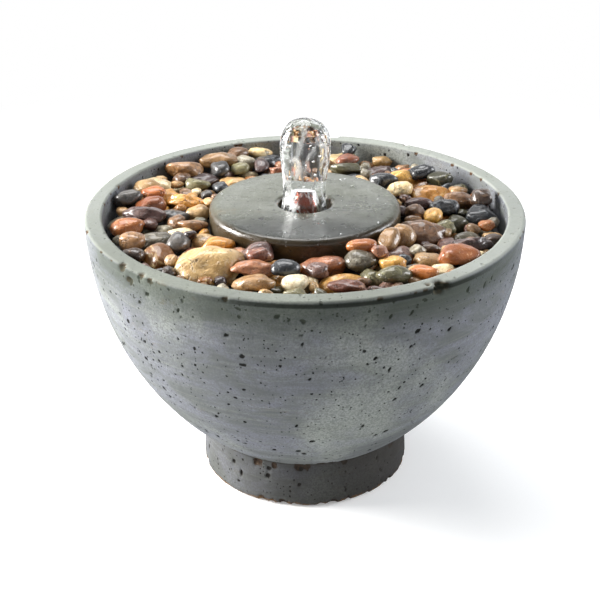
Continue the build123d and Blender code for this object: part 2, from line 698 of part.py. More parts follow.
# ---------------------------------------------------------------- pebbles
# Picked stones, by colour: (degrees round the bowl from +X, distance from its axis, size along X,
# size along Y).  The rest of the bed is filled with small stones between and under them.
PICKED = {
    "tan": [
        (122, 125, 24, 15), (126, 93, 19, 17), (174, 79, 18, 17), (209, 75, 18, 17),
        (254, 114, 24, 14), (318, 73, 12, 18), (332, 76, 16, 15), (320, 104, 20, 14),
        (347, 127, 15, 14), (78, 112, 12, 12), (27, 121, 11, 15),
    ],
    "brown": [
        (136, 126, 25, 15), (116, 127, 16, 14), (190, 76, 19, 10), (203, 124, 18, 15),
        (211, 121, 14, 12), (188, 96, 12, 12), (342, 82, 28, 24), (8, 128, 15, 14),
        (15, 119, 21, 15), (6, 77, 15, 13), (141, 117, 13, 12),
    ],
    "amber": [
        (156, 109, 21, 18), (157, 86, 27, 12), (213, 113, 20, 22), (224, 75, 19, 15),
        (261, 79, 24, 18), (283, 101, 29, 17), (115, 94, 10, 9), (4, 91, 12, 18),
        (45, 102, 20, 14), (305, 99, 16, 12), (27, 103, 30, 20),
    ],
    "orange": [
        (158, 122, 16, 11), (169, 115, 20, 15), (191, 121, 19, 14), (102, 99, 10, 10),
        (312, 79, 17, 12), (308, 119, 17, 11), (324, 122, 24, 14), (45, 124, 30, 18),
        (299, 75, 17, 9),
    ],
    "rust": [
        (249, 95, 24, 14), (247, 80, 14, 11), (279, 78, 28, 20), (338, 101, 17, 24),
        (186, 106, 10, 10), (283, 115, 22, 11), (302, 85, 10, 11), (75, 119, 17, 12),
        (109, 92, 13, 9),
    ],
    "plum": [
        (181, 116, 27, 14), (242, 75, 18, 15), (275, 92, 13, 12), (315, 86, 17, 13),
        (110, 114, 11, 16), (60, 110, 26, 17), (336, 120, 24, 12), (18, 84, 20, 13),
        (205, 84, 8, 8), (134, 109, 22, 17),
    ],
    "slate": [
        (104, 117, 24, 20), (168, 128, 19, 15), (175, 96, 27, 17), (213, 96, 14, 18),
        (258, 100, 17, 14), (141, 88, 13, 16), (124, 112, 13, 15), (4, 122, 21, 23),
        (9, 99, 18, 14), (47, 89, 19, 13), (40, 114, 18, 13), (75, 128, 11, 14),
    ],
    "grey": [
        (181, 127, 17, 19), (290, 84, 19, 15), (309, 107, 21, 17), (346, 112, 20, 16),
        (113, 121, 14, 12), (199, 107, 25, 19), (320, 92, 10, 9),
    ],
    "cream": [
        (234, 99, 42, 32), (149, 125, 24, 14), (109, 130, 18, 11), (195, 87, 18, 12),
        (271, 102, 16, 15), (314, 117, 14, 10), (32, 86, 18, 14), (77, 126, 26, 18),
        (67, 128, 16, 11), (156, 127, 15, 13),
    ],
    "olive": [
        (145, 99, 17, 13), (264, 113, 13, 10), (296, 97, 16, 17), (299, 113, 18, 12),
        (359, 107, 17, 17), (29, 127, 18, 16), (34, 120, 17, 14), (70, 98, 24, 15),
        (348, 95, 14, 12), (117, 111, 13, 10),
    ],
}
FILL_SHARES = {
    "tan": 5, "brown": 5, "amber": 3, "orange": 2, "rust": 3,
    "plum": 2, "slate": 3, "grey": 3, "cream": 2, "olive": 2,
}
STONE_GAP = 0.12
FLATNESS = 0.72  # a stone's height over the smaller of its plan sizes
TALLEST_STONE = 20.5
STEEPEST_TILT = 14.0  # degrees
BED_INNER_RADIUS = CAP_RADIUS + 0.7
BED_TOP = 197.5
BASE_COURSE_TOP = 187.5
TALL_STONE = 11.5  # stones at least this high stand on the tray itself
GROWTH_STEP = 1.06
GROWTH_LIMIT = 1.35
VERTEX_COUNT = 18
GOLDEN_TURN = math.pi * (3 - math.sqrt(5))

dice = random.Random(11)
directions = [  # unit vectors round the horizon, for testing a stone against the bowl's wall
    np.array([math.cos(a), math.sin(a), 0.0]) for a in np.radians(np.arange(-60, 61, 15))
]


class Stone:
    """An ellipsoid of half sizes (a, b, c), turned, with its centre still to be found."""

    def __init__(self, kind, half_sizes, yaw, tilt, tilt_heading):
        cy, sy = math.cos(yaw), math.sin(yaw)
        ct, st = math.cos(tilt), math.sin(tilt)
        ch, sh = math.cos(tilt_heading), math.sin(tilt_heading)
        heading = np.array([[ch, -sh, 0], [sh, ch, 0], [0, 0, 1]])
        lean = np.array([[1, 0, 0], [0, ct, -st], [0, st, ct]])
        turn = np.array([[cy, -sy, 0], [sy, cy, 0], [0, 0, 1]])
        self.kind = kind
        self.rotation = heading @ lean @ heading.T @ turn
        self.first_sizes = np.array(half_sizes)
        self.resize(self.first_sizes)
        self.centre = None

    def resize(self, half_sizes):
        self.half_sizes = half_sizes
        self.shape = self.rotation @ np.diag(half_sizes**2) @ self.rotation.T
        self.rise = math.sqrt(self.shape[2, 2])


def support(normals, shape):
    """How far an ellipsoid reaches from its centre along each normal."""
    return np.sqrt(np.einsum("...i,...ij,...j->...", normals, shape, normals))


def inside_bed(stone, x, y, bottom):
    """True if the stone, centred at (x, y), is clear of the bowl's wall and the cap."""
    distance = math.hypot(x, y)
    outward = np.array([x / distance, y / distance, 0.0])
    if distance - support(outward, stone.shape) < BED_INNER_RADIUS:
        return False
    wall = inner_wall_radius(bottom) - 0.5
    across = np.array([-outward[1], outward[0], 0.0])
    return all(
        distance * d[0] + support(outward * d[0] + across * d[1], stone.shape) <= wall
        for d in directions
    )


def gaps(stone, centres, near):
    """Least distance, at each of several centres for the stone, to each of the stones near it."""
    middles = np.array([s.centre for s in near])
    shapes = np.array([s.shape for s in near])
    softened = np.linalg.inv(shapes + stone.shape)
    offset = centres[:, None, :] - middles[None, :, :]
    best = np.full(offset.shape[:2], -np.inf)
    for normals in (offset, np.einsum("mij,kmj->kmi", softened, offset)):
        unit = normals / np.linalg.norm(normals, axis=-1, keepdims=True)
        gap = (unit * offset).sum(-1) - support(unit, shapes) - support(unit, stone.shape)
        best = np.maximum(best, gap)
    return best


def neighbours(stone, x, y, placed):
    reach = stone.half_sizes.max()
    return [
        s for s in placed
        if s is not stone
        and math.hypot(s.centre[0] - x, s.centre[1] - y) < reach + s.half_sizes.max() + STONE_GAP
    ]


def resting_height(stone, x, y, placed):
    """Height of the stone's centre where it first touches the tray or a stone on its way down."""
    lowest = TRAY_TOP + stone.rise + STONE_GAP / 2
    near = neighbours(stone, x, y, placed)
    if not near:
        return lowest

    def free(heights):
        centres = np.array([(x, y, z) for z in heights])
        return (gaps(stone, centres, near) >= STONE_GAP).all(axis=1)

    levels = np.arange(BED_TOP + 14, lowest, -0.8)
    blocked = np.flatnonzero(~free(levels))
    if len(blocked) == 0:
        return lowest
    low = levels[blocked[0]]
    high = low + 0.8
    for _ in range(5):
        middle = (low + high) / 2
        if free([middle])[0]:
            high = middle
        else:
            low = middle
    return high


def settle(stone, spots, placed, highest_top):
    """Put the stone on the spot where it comes to rest lowest.  False if none is low enough."""
    best = None
    for x, y, penalty in spots:
        if not inside_bed(stone, x, y, BED_TOP):
            continue
        z = resting_height(stone, x, y, placed)
        if z + stone.rise > highest_top or not inside_bed(stone, x, y, z - stone.rise):
            continue
        if best is None or z + penalty < best[0]:
            best = (z + penalty, x, y, z)
    if best is None:
        return False
    stone.centre = np.array(best[1:])
    placed.append(stone)
    return True


def grow(bed, rounds):
    """Let each stone swell along each of its axes until it all but touches its neighbours."""
    for _ in range(rounds):
        for stone in bed:
            for axis in range(3):
                old = stone.half_sizes
                new = old.copy()
                new[axis] *= GROWTH_STEP
                if new[axis] > GROWTH_LIMIT * stone.first_sizes[axis]:
                    continue
                stone.resize(new)
                x, y, z = stone.centre
                near = neighbours(stone, x, y, bed)
                clear = (
                    z - stone.rise > TRAY_TOP
                    and z + stone.rise < BED_TOP + 1
                    and inside_bed(stone, x, y, z - stone.rise)
                    and (not near or (gaps(stone, stone.centre[None], near) >= STONE_GAP).all())
                )
                if not clear:
                    stone.resize(old)


def picked_stone(kind, size_x, size_y):
    height = min(TALLEST_STONE, FLATNESS * min(size_x, size_y))
    return Stone(
        kind,
        (size_x / 2, size_y / 2, height / 2),
        math.radians(dice.uniform(-18, 18)),
        math.radians(dice.uniform(0, STEEPEST_TILT)),
        dice.uniform(0, 2 * math.pi),
    )


def spots_near(x, y):
    """The wanted place and rings of places round it, each with what its distance costs."""
    yield x, y, 0.0
    for ring in (2.5, 5.0, 7.5, 10.0):
        for step in range(8):
            a = step * math.pi / 4 + ring
            yield x + ring * math.cos(a), y + ring * math.sin(a), 0.35 * ring


def fill_bed(placed, size_range, highest_top, tries):
    """Drop small stones into the lowest places left, until they no longer find room."""
    kinds = list(FILL_SHARES)
    shares = list(FILL_SHARES.values())
    misses = 0
    while misses < tries:
        length = dice.uniform(*size_range)
        breadth = length * dice.uniform(0.7, 0.95)
        stone = Stone(
            dice.choices(kinds, shares)[0],
            (length / 2, breadth / 2, breadth / 2 * dice.uniform(0.65, 0.85)),
            dice.uniform(0, math.pi),
            math.radians(dice.uniform(0, 2 * STEEPEST_TILT)),
            dice.uniform(0, 2 * math.pi),
        )
        spots = []
        for _ in range(40):
            angle = dice.uniform(0, 2 * math.pi)
            distance = math.sqrt(dice.uniform(BED_INNER_RADIUS**2, TRAY_RADIUS**2))
            spots.append((distance * math.cos(angle), distance * math.sin(angle), 0.0))
        misses = 0 if settle(stone, spots, placed, highest_top) else misses + 1


def stone_vertices(stone):
    """Points spread evenly over the stone's ellipsoid, a little in from it here and there."""
    points = []
    for k in range(VERTEX_COUNT):
        z = 1 - (2 * k + 1) / VERTEX_COUNT
        ring = math.sqrt(1 - z * z)
        turn = k * GOLDEN_TURN
        point = np.array([ring * math.cos(turn), ring * math.sin(turn), z])
        point *= dice.uniform(0.95, 1.0) * stone.half_sizes
        points.append(tuple(float(v) for v in stone.rotation @ point + stone.centre))
    return points


wanted = []
for kind, stones in PICKED.items():
    for angle, distance, size_x, size_y in stones:
        x = distance * math.cos(math.radians(angle))
        y = distance * math.sin(math.radians(angle))
        wanted.append((picked_stone(kind, size_x, size_y), x, y))
wanted.sort(key=lambda item: -item[0].rise)

bed = []
for stone, x, y in wanted:
    if 2 * stone.rise >= TALL_STONE:
        settle(stone, spots_near(x, y), bed, BED_TOP + 1)
fill_bed(bed, (11.0, 17.0), BASE_COURSE_TOP, 10)
for stone, x, y in wanted:
    if 2 * stone.rise < TALL_STONE:
        settle(stone, spots_near(x, y), bed, BED_TOP + 2)
fill_bed(bed, (9.0, 14.0), BASE_COURSE_TOP + 3, 14)
grow(bed, 5)

for kind in PICKED:
    with BuildPart() as pebbles:
        add([
            ConvexPolyhedron(stone_vertices(stone), mode=Mode.PRIVATE)
            for stone in bed
            if stone.kind == kind
        ])
    save(pebbles.part, f"pebbles_{kind}")

print("pebbles:", len(bed), {kind: sum(s.kind == kind for s in bed) for kind in PICKED})
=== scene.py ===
"""Table-top pebble fountain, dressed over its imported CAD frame.  Metres, +Z up, front is -Y."""

import math
import random

import bmesh
import bpy
import numpy as np
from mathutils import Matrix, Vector, noise


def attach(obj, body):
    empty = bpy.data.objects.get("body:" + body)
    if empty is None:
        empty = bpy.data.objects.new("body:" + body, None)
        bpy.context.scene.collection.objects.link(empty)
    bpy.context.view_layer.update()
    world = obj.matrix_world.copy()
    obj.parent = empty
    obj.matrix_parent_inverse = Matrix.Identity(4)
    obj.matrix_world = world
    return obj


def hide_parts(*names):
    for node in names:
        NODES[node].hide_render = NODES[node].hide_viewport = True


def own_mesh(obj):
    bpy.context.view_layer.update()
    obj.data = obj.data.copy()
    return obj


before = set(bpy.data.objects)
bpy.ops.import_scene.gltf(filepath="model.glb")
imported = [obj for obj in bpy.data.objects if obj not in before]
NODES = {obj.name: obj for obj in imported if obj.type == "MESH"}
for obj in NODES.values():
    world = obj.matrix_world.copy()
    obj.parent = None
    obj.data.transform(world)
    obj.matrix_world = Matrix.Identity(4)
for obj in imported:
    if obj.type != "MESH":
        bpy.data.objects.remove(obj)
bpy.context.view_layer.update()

X_AXIS, Y_AXIS, Z_AXIS, FRONT = (1, 0, 0), (0, 1, 0), (0, 0, 1), (0, -1, 0)


# ---------------------------------------------------------------- node helpers
class Graph:
    """A short way to write the nodes of a material, or of the world."""

    def __init__(self, name, world=False):
        self.owner = (bpy.data.worlds if world else bpy.data.materials).new(name)
        self.owner.use_nodes = True
        self.tree = self.owner.node_tree
        self.tree.nodes.clear()
        self.out = self.add("ShaderNodeOutputWorld" if world else "ShaderNodeOutputMaterial")
        self.place = self.add("ShaderNodeTexCoord").outputs["Generated" if world else "Object"]

    def add(self, kind, **inputs):
        """A node with its inputs set or linked by name."""
        node = self.tree.nodes.new(kind)
        for key, value in inputs.items():
            self.feed(node, key.replace("_", " "), value)
        return node

    def feed(self, node, socket, value):
        if isinstance(socket, str) and socket not in node.inputs:
            raise KeyError(f"{node.bl_idname} has no input {socket}")
        target = node.inputs[socket]
        if isinstance(value, bpy.types.NodeSocket):
            self.tree.links.new(value, target)
        elif target.type == "RGBA" and len(value) == 3:
            target.default_value = (*value, 1.0)
        else:
            target.default_value = value

    def math(self, operation, a, b=0.0, c=0.0):
        node = self.add("ShaderNodeMath")
        node.operation = operation
        for i, v in enumerate((a, b, c)):
            self.feed(node, i, v)
        return node.outputs[0]

    def vector(self, operation, a, b=(0, 0, 0), scale=None):
        node = self.add("ShaderNodeVectorMath")
        node.operation = operation
        self.feed(node, 0, a)
        self.feed(node, 1, b)
        if scale is not None:
            self.feed(node, "Scale", scale)
        return node.outputs["Value" if operation in ("LENGTH", "DOT_PRODUCT") else "Vector"]

    def times(self, a, b):
        return self.math("MULTIPLY", a, b)

    def along(self, where, direction):
        """How far a vector reaches along a direction."""
        return self.vector("DOT_PRODUCT", where, direction)

    def from_axis(self):
        """Distance from the upright middle line."""
        return self.vector("LENGTH", self.stretch(self.place, (1, 1, 0)))

    def stretch(self, where, scale):
        return self.vector("MULTIPLY", where, scale)

    def noise(self, where, scale, detail=4.0, rough=0.55, distort=0.0):
        node = self.add("ShaderNodeTexNoise", Scale=scale, Detail=detail, Roughness=rough)
        self.feed(node, "Distortion", distort)
        self.feed(node, "Vector", where)
        return node.outputs["Fac"]

    def voronoi(self, where, scale, feature="F1", out="Distance"):
        node = self.add("ShaderNodeTexVoronoi", Scale=scale)
        node.feature = feature
        self.feed(node, "Vector", where)
        return node.outputs[out]

    def span(self, value, low, high, to_low=0.0, to_high=1.0):
        """Map a value's range smoothly on to another, clamped."""
        node = self.add("ShaderNodeMapRange")
        node.interpolation_type = "SMOOTHSTEP"
        for i, v in enumerate((value, low, high, to_low, to_high)):
            self.feed(node, i, v)
        return node.outputs[0]

    def ramp(self, value, *stops):
        """Colours blended along a value; stops are (place, colour)."""
        node = self.add("ShaderNodeValToRGB", Fac=value)
        bar = node.color_ramp
        while len(bar.elements) < len(stops):
            bar.elements.new(0.5)
        for element, (at, colour) in zip(bar.elements, stops):
            element.position = at
            element.color = (*colour, 1.0)
        return node.outputs["Color"]

    def mix(self, share, a, b, how="MIX"):
        node = self.add("ShaderNodeMix")
        node.data_type = "RGBA"
        node.blend_type = how
        for socket, value in ((0, share), (6, a), (7, b)):
            self.feed(node, socket, value)
        return node.outputs[2]

    def bump(self, height, strength, distance):
        node = self.add("ShaderNodeBump", Strength=strength, Distance=distance, Height=height)
        return node.outputs["Normal"]

    def attribute(self, name):
        node = self.add("ShaderNodeAttribute")
        node.attribute_name = name
        return node

    def blend(self, share, a, b):
        """Mix two shaders."""
        node = self.add("ShaderNodeMixShader", Fac=share)
        self.feed(node, 1, a)
        self.feed(node, 2, b)
        return node.outputs[0]

    def show(self, shader):
        """Link a shader to the output, and hand back the material or world."""
        self.tree.links.new(shader, self.out.inputs["Surface"])
        return self.owner

    def surface(self, **inputs):
        return self.show(self.add("ShaderNodeBsdfPrincipled", **inputs).outputs[0])


def tint(hexcode):
    """sRGB hex to linear colour."""
    parts = [int(hexcode[i : i + 2], 16) / 255 for i in (0, 2, 4)]
    return tuple(v / 12.92 if v <= 0.04045 else ((v + 0.055) / 1.055) ** 2.4 for v in parts)


# ---------------------------------------------------------------- materials
PINHOLES = (  # cells per metre, share of the cells with a hole, size within the cell
    (210.0, 0.30, 0.22),
    (110.0, 0.20, 0.20),
    (420.0, 0.26, 0.27),
)


def pinholes(g):
    """Ragged dark pinholes of three sizes, each only in some of its cells."""
    holes = 0.0
    for scale, share, wide in PINHOLES:
        warp = g.add("ShaderNodeTexNoise", Scale=scale * 1.3, Vector=g.place).outputs["Color"]
        warped = g.vector("ADD", g.place, g.vector("SCALE", warp, scale=0.5 / scale))
        near = g.voronoi(warped, scale)
        pick = g.voronoi(warped, scale, out="Color")
        chosen = g.math("LESS_THAN", g.along(pick, X_AXIS), share)
        size = g.math("MULTIPLY_ADD", g.along(pick, Y_AXIS), wide, wide * 0.35)
        hole = g.times(chosen, g.span(near, size, g.times(size, 0.55)))
        holes = g.math("MAXIMUM", holes, hole)
    return holes


def concrete(name, pale, dark, cool, wet, edge):
    """Cast concrete: cloudy colour, fine striae from the mould, pinholes and grain.

    The vertex weights "chip", "pit" and "dry" bare the raw stone, paint shade into a hole and dull
    the wet film.  The edge function adds what only one piece has.
    """
    g = Graph(name)
    cloud = g.noise(g.place, 9.0, 5.0, 0.6, 0.4)
    veil = g.noise(g.stretch(g.place, (1.0, 1.0, 2.6)), 21.0, 6.0, 0.62, 0.9)
    striae = g.noise(g.stretch(g.place, (5.0, 5.0, 120.0)), 3.0, 6.0, 0.7, 0.3)
    grain = g.noise(g.place, 700.0, 3.0, 0.7)
    sand = g.voronoi(g.place, 1400.0)
    colour = g.mix(g.span(veil, 0.36, 0.60), dark, cool)
    colour = g.mix(g.span(cloud, 0.48, 0.66, 0.0, 0.72), colour, pale)
    colour = g.mix(g.span(striae, 0.45, 0.72, 0.0, 0.30), colour, pale)
    colour = g.mix(g.span(grain, 0.40, 0.62, 0.0, 0.68), colour, dark)
    # hair cracks and drag marks along the mould, in patches
    drag = g.noise(g.stretch(g.place, (60.0, 60.0, 900.0)), 1.0, 3.0, 0.5)
    drag = g.times(g.span(drag, 0.66, 0.72),
                   g.span(g.noise(g.place, 16.0, 2.0), 0.58, 0.66, 0.0, 0.8))
    colour = g.mix(drag, colour, tint("2a2621"))
    holes = pinholes(g)
    # painted shade: the pinholes dark inside
    colour = g.mix(g.times(holes, 0.93), colour, tint("14120e"))
    # brown stains
    soaked = g.noise(g.stretch(g.place, (1.0, 1.0, 2.2)), 17.0, 5.0, 0.7)
    stain = g.times(g.span(soaked, 0.60, 0.72), g.span(grain, 0.40, 0.62, 0.1, 0.6))
    colour = g.mix(stain, colour, tint("8a7a60"))
    # chips show the raw stone, and blow holes get painted shade inside
    chips = g.attribute("chip").outputs["Fac"]
    raw = g.ramp(g.noise(g.place, 420.0, 5.0, 0.7),
                 (0.3, tint("1a120a")), (0.60, tint("5b4330")), (0.8, tint("a8937a")))
    colour = g.mix(g.span(chips, 0.03, 0.36), colour, raw)
    pits = g.attribute("pit").outputs["Fac"]
    colour = g.mix(g.span(pits, 0.06, 0.45, 0.0, 0.96), colour, tint("12100c"))
    colour = edge(g, colour)
    rough = g.span(g.noise(g.place, 60.0, 4.0), 0.3, 0.7, 0.62 - 0.42 * wet, 0.86 - 0.42 * wet)
    height = g.math("MULTIPLY_ADD", holes, -1.0, g.times(grain, 0.22))
    height = g.math("MULTIPLY_ADD", sand, 0.10, height)
    height = g.math("MULTIPLY_ADD", striae, 0.14, height)
    height = g.math("MULTIPLY_ADD", drag, -0.5, height)
    film = 0.0
    if wet:  # a film of water, thinner in patches
        film = g.times(wet, g.span(g.noise(g.place, 30.0, 3.0), 0.35, 0.6, 0.5, 1.0))
        film = g.times(film, g.math("SUBTRACT", 1.0, g.attribute("dry").outputs["Fac"]))
    return g.surface(Base_Color=colour, Roughness=rough, Normal=g.bump(height, 0.75, 0.0007),
                     Specular_IOR_Level=0.03 + 0.4 * wet, Coat_Weight=film, Coat_Roughness=0.10,
                     Coat_Normal=g.bump(cloud, 0.15, 0.002))


def stone(name, shades, spots, vein):
    """Wet pebble.  Three shades across each stone, with its own blend, bands and speckle."""
    g = Graph(name)
    pick = g.attribute("stone").outputs["Vector"]  # three random numbers of the stone's own
    r, s, t = (g.along(pick, axis) for axis in (X_AXIS, Y_AXIS, Z_AXIS))
    where = g.vector("ADD", g.place, g.vector("SCALE", pick, scale=3.0))
    turned = g.add("ShaderNodeVectorRotate")
    turned.rotation_type = "EULER_XYZ"
    g.feed(turned, "Vector", where)
    g.feed(turned, "Rotation", g.vector("SCALE", pick, scale=6.0))
    patches = g.noise(where, 70.0, 5.0, 0.62, 0.8)
    mottle = g.noise(where, 260.0, 5.0, 0.7, 0.3)
    shade = g.math("ADD", g.math("MULTIPLY_ADD", r, 0.75, -0.13), g.times(patches, 0.5))
    colour = g.ramp(shade, (0.18, shades[0]), (0.5, shades[1]), (0.82, shades[2]))
    light = g.math("MULTIPLY_ADD", t, 0.65, 0.80)
    light = g.add("ShaderNodeCombineColor", Red=light, Green=light, Blue=light).outputs[0]
    colour = g.mix(1.0, colour, light, "MULTIPLY")
    colour = g.mix(g.span(mottle, 0.42, 0.70, 0.0, 0.72), colour, shades[0])
    veins = g.noise(where, 120.0, 4.0, 0.6, 1.5)
    colour = g.mix(g.span(veins, 0.56, 0.68, 0.0, 0.45), colour, vein)
    bands = g.noise(g.stretch(turned.outputs[0], (1.0, 1.0, 6.0)), 34.0, 4.0, 0.6, 1.6)
    banded = g.times(g.span(bands, 0.55, 0.70), g.span(s, 0.72, 0.86, 0.0, 0.5))
    colour = g.mix(banded, colour, vein)
    specks = g.times(g.span(g.voronoi(where, 780.0), 0.34, 0.16),
                     g.span(s, 0.5, 0.2, 0.12, 0.75))
    colour = g.mix(specks, colour, spots)
    # cracks in some stones
    warp = g.add("ShaderNodeTexNoise", Scale=120.0, Vector=where).outputs["Color"]
    crack = g.voronoi(g.vector("ADD", where, g.vector("SCALE", warp, scale=0.012)),
                      62.0, "DISTANCE_TO_EDGE")
    cracked = g.times(g.span(crack, 0.045, 0.0), g.span(t, 0.55, 0.85, 0.0, 0.6))
    cracked = g.times(cracked, g.span(patches, 0.46, 0.58))
    colour = g.mix(cracked, colour, tint("1c130c"))
    height = g.math("MULTIPLY_ADD", cracked, -0.8, g.times(mottle, 0.8))
    height = g.math("MULTIPLY_ADD", g.noise(where, 700.0, 3.0), 0.30, height)
    height = g.math("MULTIPLY_ADD", g.span(g.voronoi(where, 420.0), 0.30, 0.10), -0.35, height)
    return g.surface(Base_Color=colour, Roughness=g.span(patches, 0.3, 0.7, 0.32, 0.57),
                     Normal=g.bump(height, 0.9, 0.0009), Coat_Weight=0.85, Coat_Roughness=0.05,
                     Coat_IOR=1.38)


def plastic(name, colour, rough):
    """Moulded plastic: fine spark-eroded grain, faint flow marks and dulled patches."""
    g = Graph(name)
    grain = g.noise(g.place, 2600.0, 2.0, 0.6)
    flow = g.noise(g.stretch(g.place, (1.0, 1.0, 0.3)), 55.0, 4.0, 0.6, 0.8)
    scum = g.span(g.noise(g.place, 28.0, 6.0, 0.7), 0.5, 0.78, 0.0, 0.4)
    lime = tuple(0.6 * c + 0.4 * 0.32 for c in colour)
    tone = g.mix(g.span(flow, 0.3, 0.7, 0.0, 0.35), colour, tuple(c * 0.62 for c in colour))
    tone = g.mix(scum, tone, lime)
    height = g.math("MULTIPLY_ADD", flow, 0.4, grain)
    return g.surface(Base_Color=tone, Roughness=g.span(scum, 0.0, 0.4, rough, rough + 0.2),
                     Normal=g.bump(height, 0.35, 0.00012))


def rubber(name, colour, rough=0.7):
    """Matt rubber with a little dust."""
    g = Graph(name)
    dust = g.span(g.noise(g.place, 130.0, 6.0, 0.7), 0.45, 0.8, 0.0, 0.5)
    grain = g.noise(g.place, 1800.0, 4.0, 0.7)
    tone = g.mix(dust, colour, tuple(c * 0.6 + 0.06 for c in colour))
    return g.surface(Base_Color=tone, Roughness=g.span(dust, 0.0, 0.5, rough, 0.92),
                     Normal=g.bump(grain, 0.4, 0.0002))


def metal(name, colour, stain, rough, lines, stained, fineness=1400.0):
    """Metal with drawn or stacked lines, and stains over a share of it."""
    g = Graph(name)
    drawn = g.noise(g.stretch(g.place, lines), fineness, 3.0, 0.6)
    patch = g.noise(g.place, 190.0, 6.0, 0.68, 0.6)
    aged = g.span(patch, 0.46, 0.72, 0.0, stained)
    tone = g.mix(aged, colour, stain)
    tone = g.mix(g.span(drawn, 0.35, 0.7, 0.0, 0.4), tone, tuple(c * 0.55 for c in colour))
    return g.surface(Base_Color=tone, Metallic=g.math("SUBTRACT", 1.0, g.times(aged, 0.7)),
                     Roughness=g.span(aged, 0.0, 0.5, rough, rough + 0.3),
                     Normal=g.bump(drawn, 0.3, 0.00015))


def clear(name, colour, rough, ior, cloudy):
    """Clear moulding, a little clouded."""
    g = Graph(name)
    haze = g.span(g.noise(g.place, 90.0, 5.0, 0.7), 0.4, 0.8, cloudy * 0.3, cloudy * 2.0)
    wave = g.noise(g.place, 320.0, 3.0)
    return g.surface(Base_Color=colour, Roughness=g.math("ADD", haze, rough), IOR=ior,
                     Transmission_Weight=g.math("SUBTRACT", 1.0, haze),
                     Normal=g.bump(wave, 0.2, 0.0002))


def windings(name):
    """Enamelled copper wire, wound side by side along X."""
    g = Graph(name)
    turn = g.math("ABSOLUTE", g.math("SINE", g.times(g.along(g.place, X_AXIS), 6500.0)))
    worn = g.noise(g.place, 260.0, 4.0)
    tone = g.mix(g.span(worn, 0.35, 0.7), tint("7a2f14"), tint("b4562a"))
    # painted shade in the grooves between the turns
    tone = g.mix(g.span(turn, 0.35, 0.0, 0.0, 0.8), tone, tint("2c0f07"))
    return g.surface(Base_Color=tone, Metallic=0.85, Roughness=0.3, Coat_Weight=0.7,
                     Normal=g.bump(turn, 0.8, 0.0002))


def dress(node, material):
    """Give a CAD node its procedural material."""
    slots = NODES[node].material_slots
    if not slots:
        raise RuntimeError(f"{node} has no material slot")
    for s in slots:
        s.material = material


black = plastic("moulded_black", tint("16181b"), 0.42)
dress("pump_housing", black)
dress("volute_cover", plastic("moulded_charcoal", tint("212428"), 0.38))
dress("strainer_cover", black)
dress("flow_slider", plastic("moulded_grey", tint("80868a"), 0.4))
dress("impeller", plastic("moulded_white", tint("dcdcd6"), 0.35))
dress("coil_bobbin", plastic("bobbin_white", tint("cfcfc6"), 0.4))
dress("pebble_tray", plastic("tray_dark", tint("1d1f20"), 0.5))
dress("tray_legs", plastic("leg_dark", tint("26292b"), 0.5))
dress("cap_stand", plastic("stand_dark", tint("1b1d1e"), 0.5))
dress("potting_resin", plastic("potting", tint("1a1613"), 0.18))
dress("cord_stopper", rubber("stopper_rubber", tint("18181a")))
dress("volute_seal", rubber("seal_rubber", tint("101011"), 0.5))
dress("cable_gland", rubber("gland_rubber", tint("141416"), 0.6))
for bush in ("shaft_bush_front", "shaft_bush_rear"):
    dress(bush, rubber("bush_rubber", tint("33352f"), 0.6))
dress("suction_cups", clear("cup_rubber", tint("c9d6d2"), 0.12, 1.42, 0.3))
dress("riser_tube", clear("tube_clear", tint("dfeceb"), 0.05, 1.45, 0.16))
dress("motor_shaft",
      metal("shaft_steel", tint("c9c9c6"), tint("8a8379"), 0.18, (1, 0.05, 1), 0.2))
dress("stator_core",
      metal("core_steel", tint("84868a"), tint("6d4a33"), 0.4, (0.1, 3.0, 0.1), 0.6))
dress("rotor_magnet", metal("ferrite", tint("2e2f31"), tint("4b4238"), 0.5, (1, 1, 1), 0.3))
dress("stator_coil", windings("copper_winding"))
dress("nozzle",
      metal("nozzle_copper", tint("6a2c1a"), tint("2e110a"), 0.42, (1, 1, 1), 1.0, 700.0))


# ---------------------------------------------------------------- mesh helpers
def piece(name, verts, faces, material):
    """A smooth mesh object from vertices and faces, as lists or arrays."""
    mesh = bpy.data.meshes.new(name)
    mesh.from_pydata([tuple(map(float, v)) for v in verts], [], [list(map(int, f)) for f in faces])
    mesh.update()
    mesh.polygons.foreach_set("use_smooth", [True] * len(mesh.polygons))
    obj = bpy.data.objects.new(name, mesh)
    bpy.context.scene.collection.objects.link(obj)
    mesh.materials.append(material)
    return obj


def lathe(profile, steps):
    """Vertices and faces of a profile of (r, z) turned round Z.  The profile is a closed loop."""
    angles = np.linspace(0, 2 * math.pi, steps, endpoint=False)
    r = np.array([p[0] for p in profile])
    z = np.array([p[1] for p in profile])
    rows = len(profile)
    verts = np.stack([
        np.outer(np.cos(angles), r),
        np.outer(np.sin(angles), r),
        np.outer(np.ones(steps), z),
    ], axis=-1).reshape(-1, 3)
    i, j = np.meshgrid(np.arange(steps), np.arange(rows), indexing="ij")
    a = i * rows + j
    b = ((i + 1) % steps) * rows + j
    c = ((i + 1) % steps) * rows + (j + 1) % rows
    d = i * rows + (j + 1) % rows
    faces = np.stack([a, b, c, d], axis=-1).reshape(-1, 4)
    return verts, faces


def polyline(points, spacing):
    """Points added along straight runs, at most the spacing apart."""
    out = []
    for (x0, y0), (x1, y1) in zip(points, points[1:]):
        n = max(1, math.ceil(math.hypot(x1 - x0, y1 - y0) / spacing))
        out += [(x0 + (x1 - x0) * k / n, y0 + (y1 - y0) * k / n) for k in range(n)]
    return out + [points[-1]]


def arc(cx, cy, radius, a0, a1, n):
    """Points of a circular arc, from angle a0 to a1 in degrees."""
    angles = np.radians(np.linspace(a0, a1, n))
    return [(cx + radius * math.cos(a), cy + radius * math.sin(a)) for a in angles]


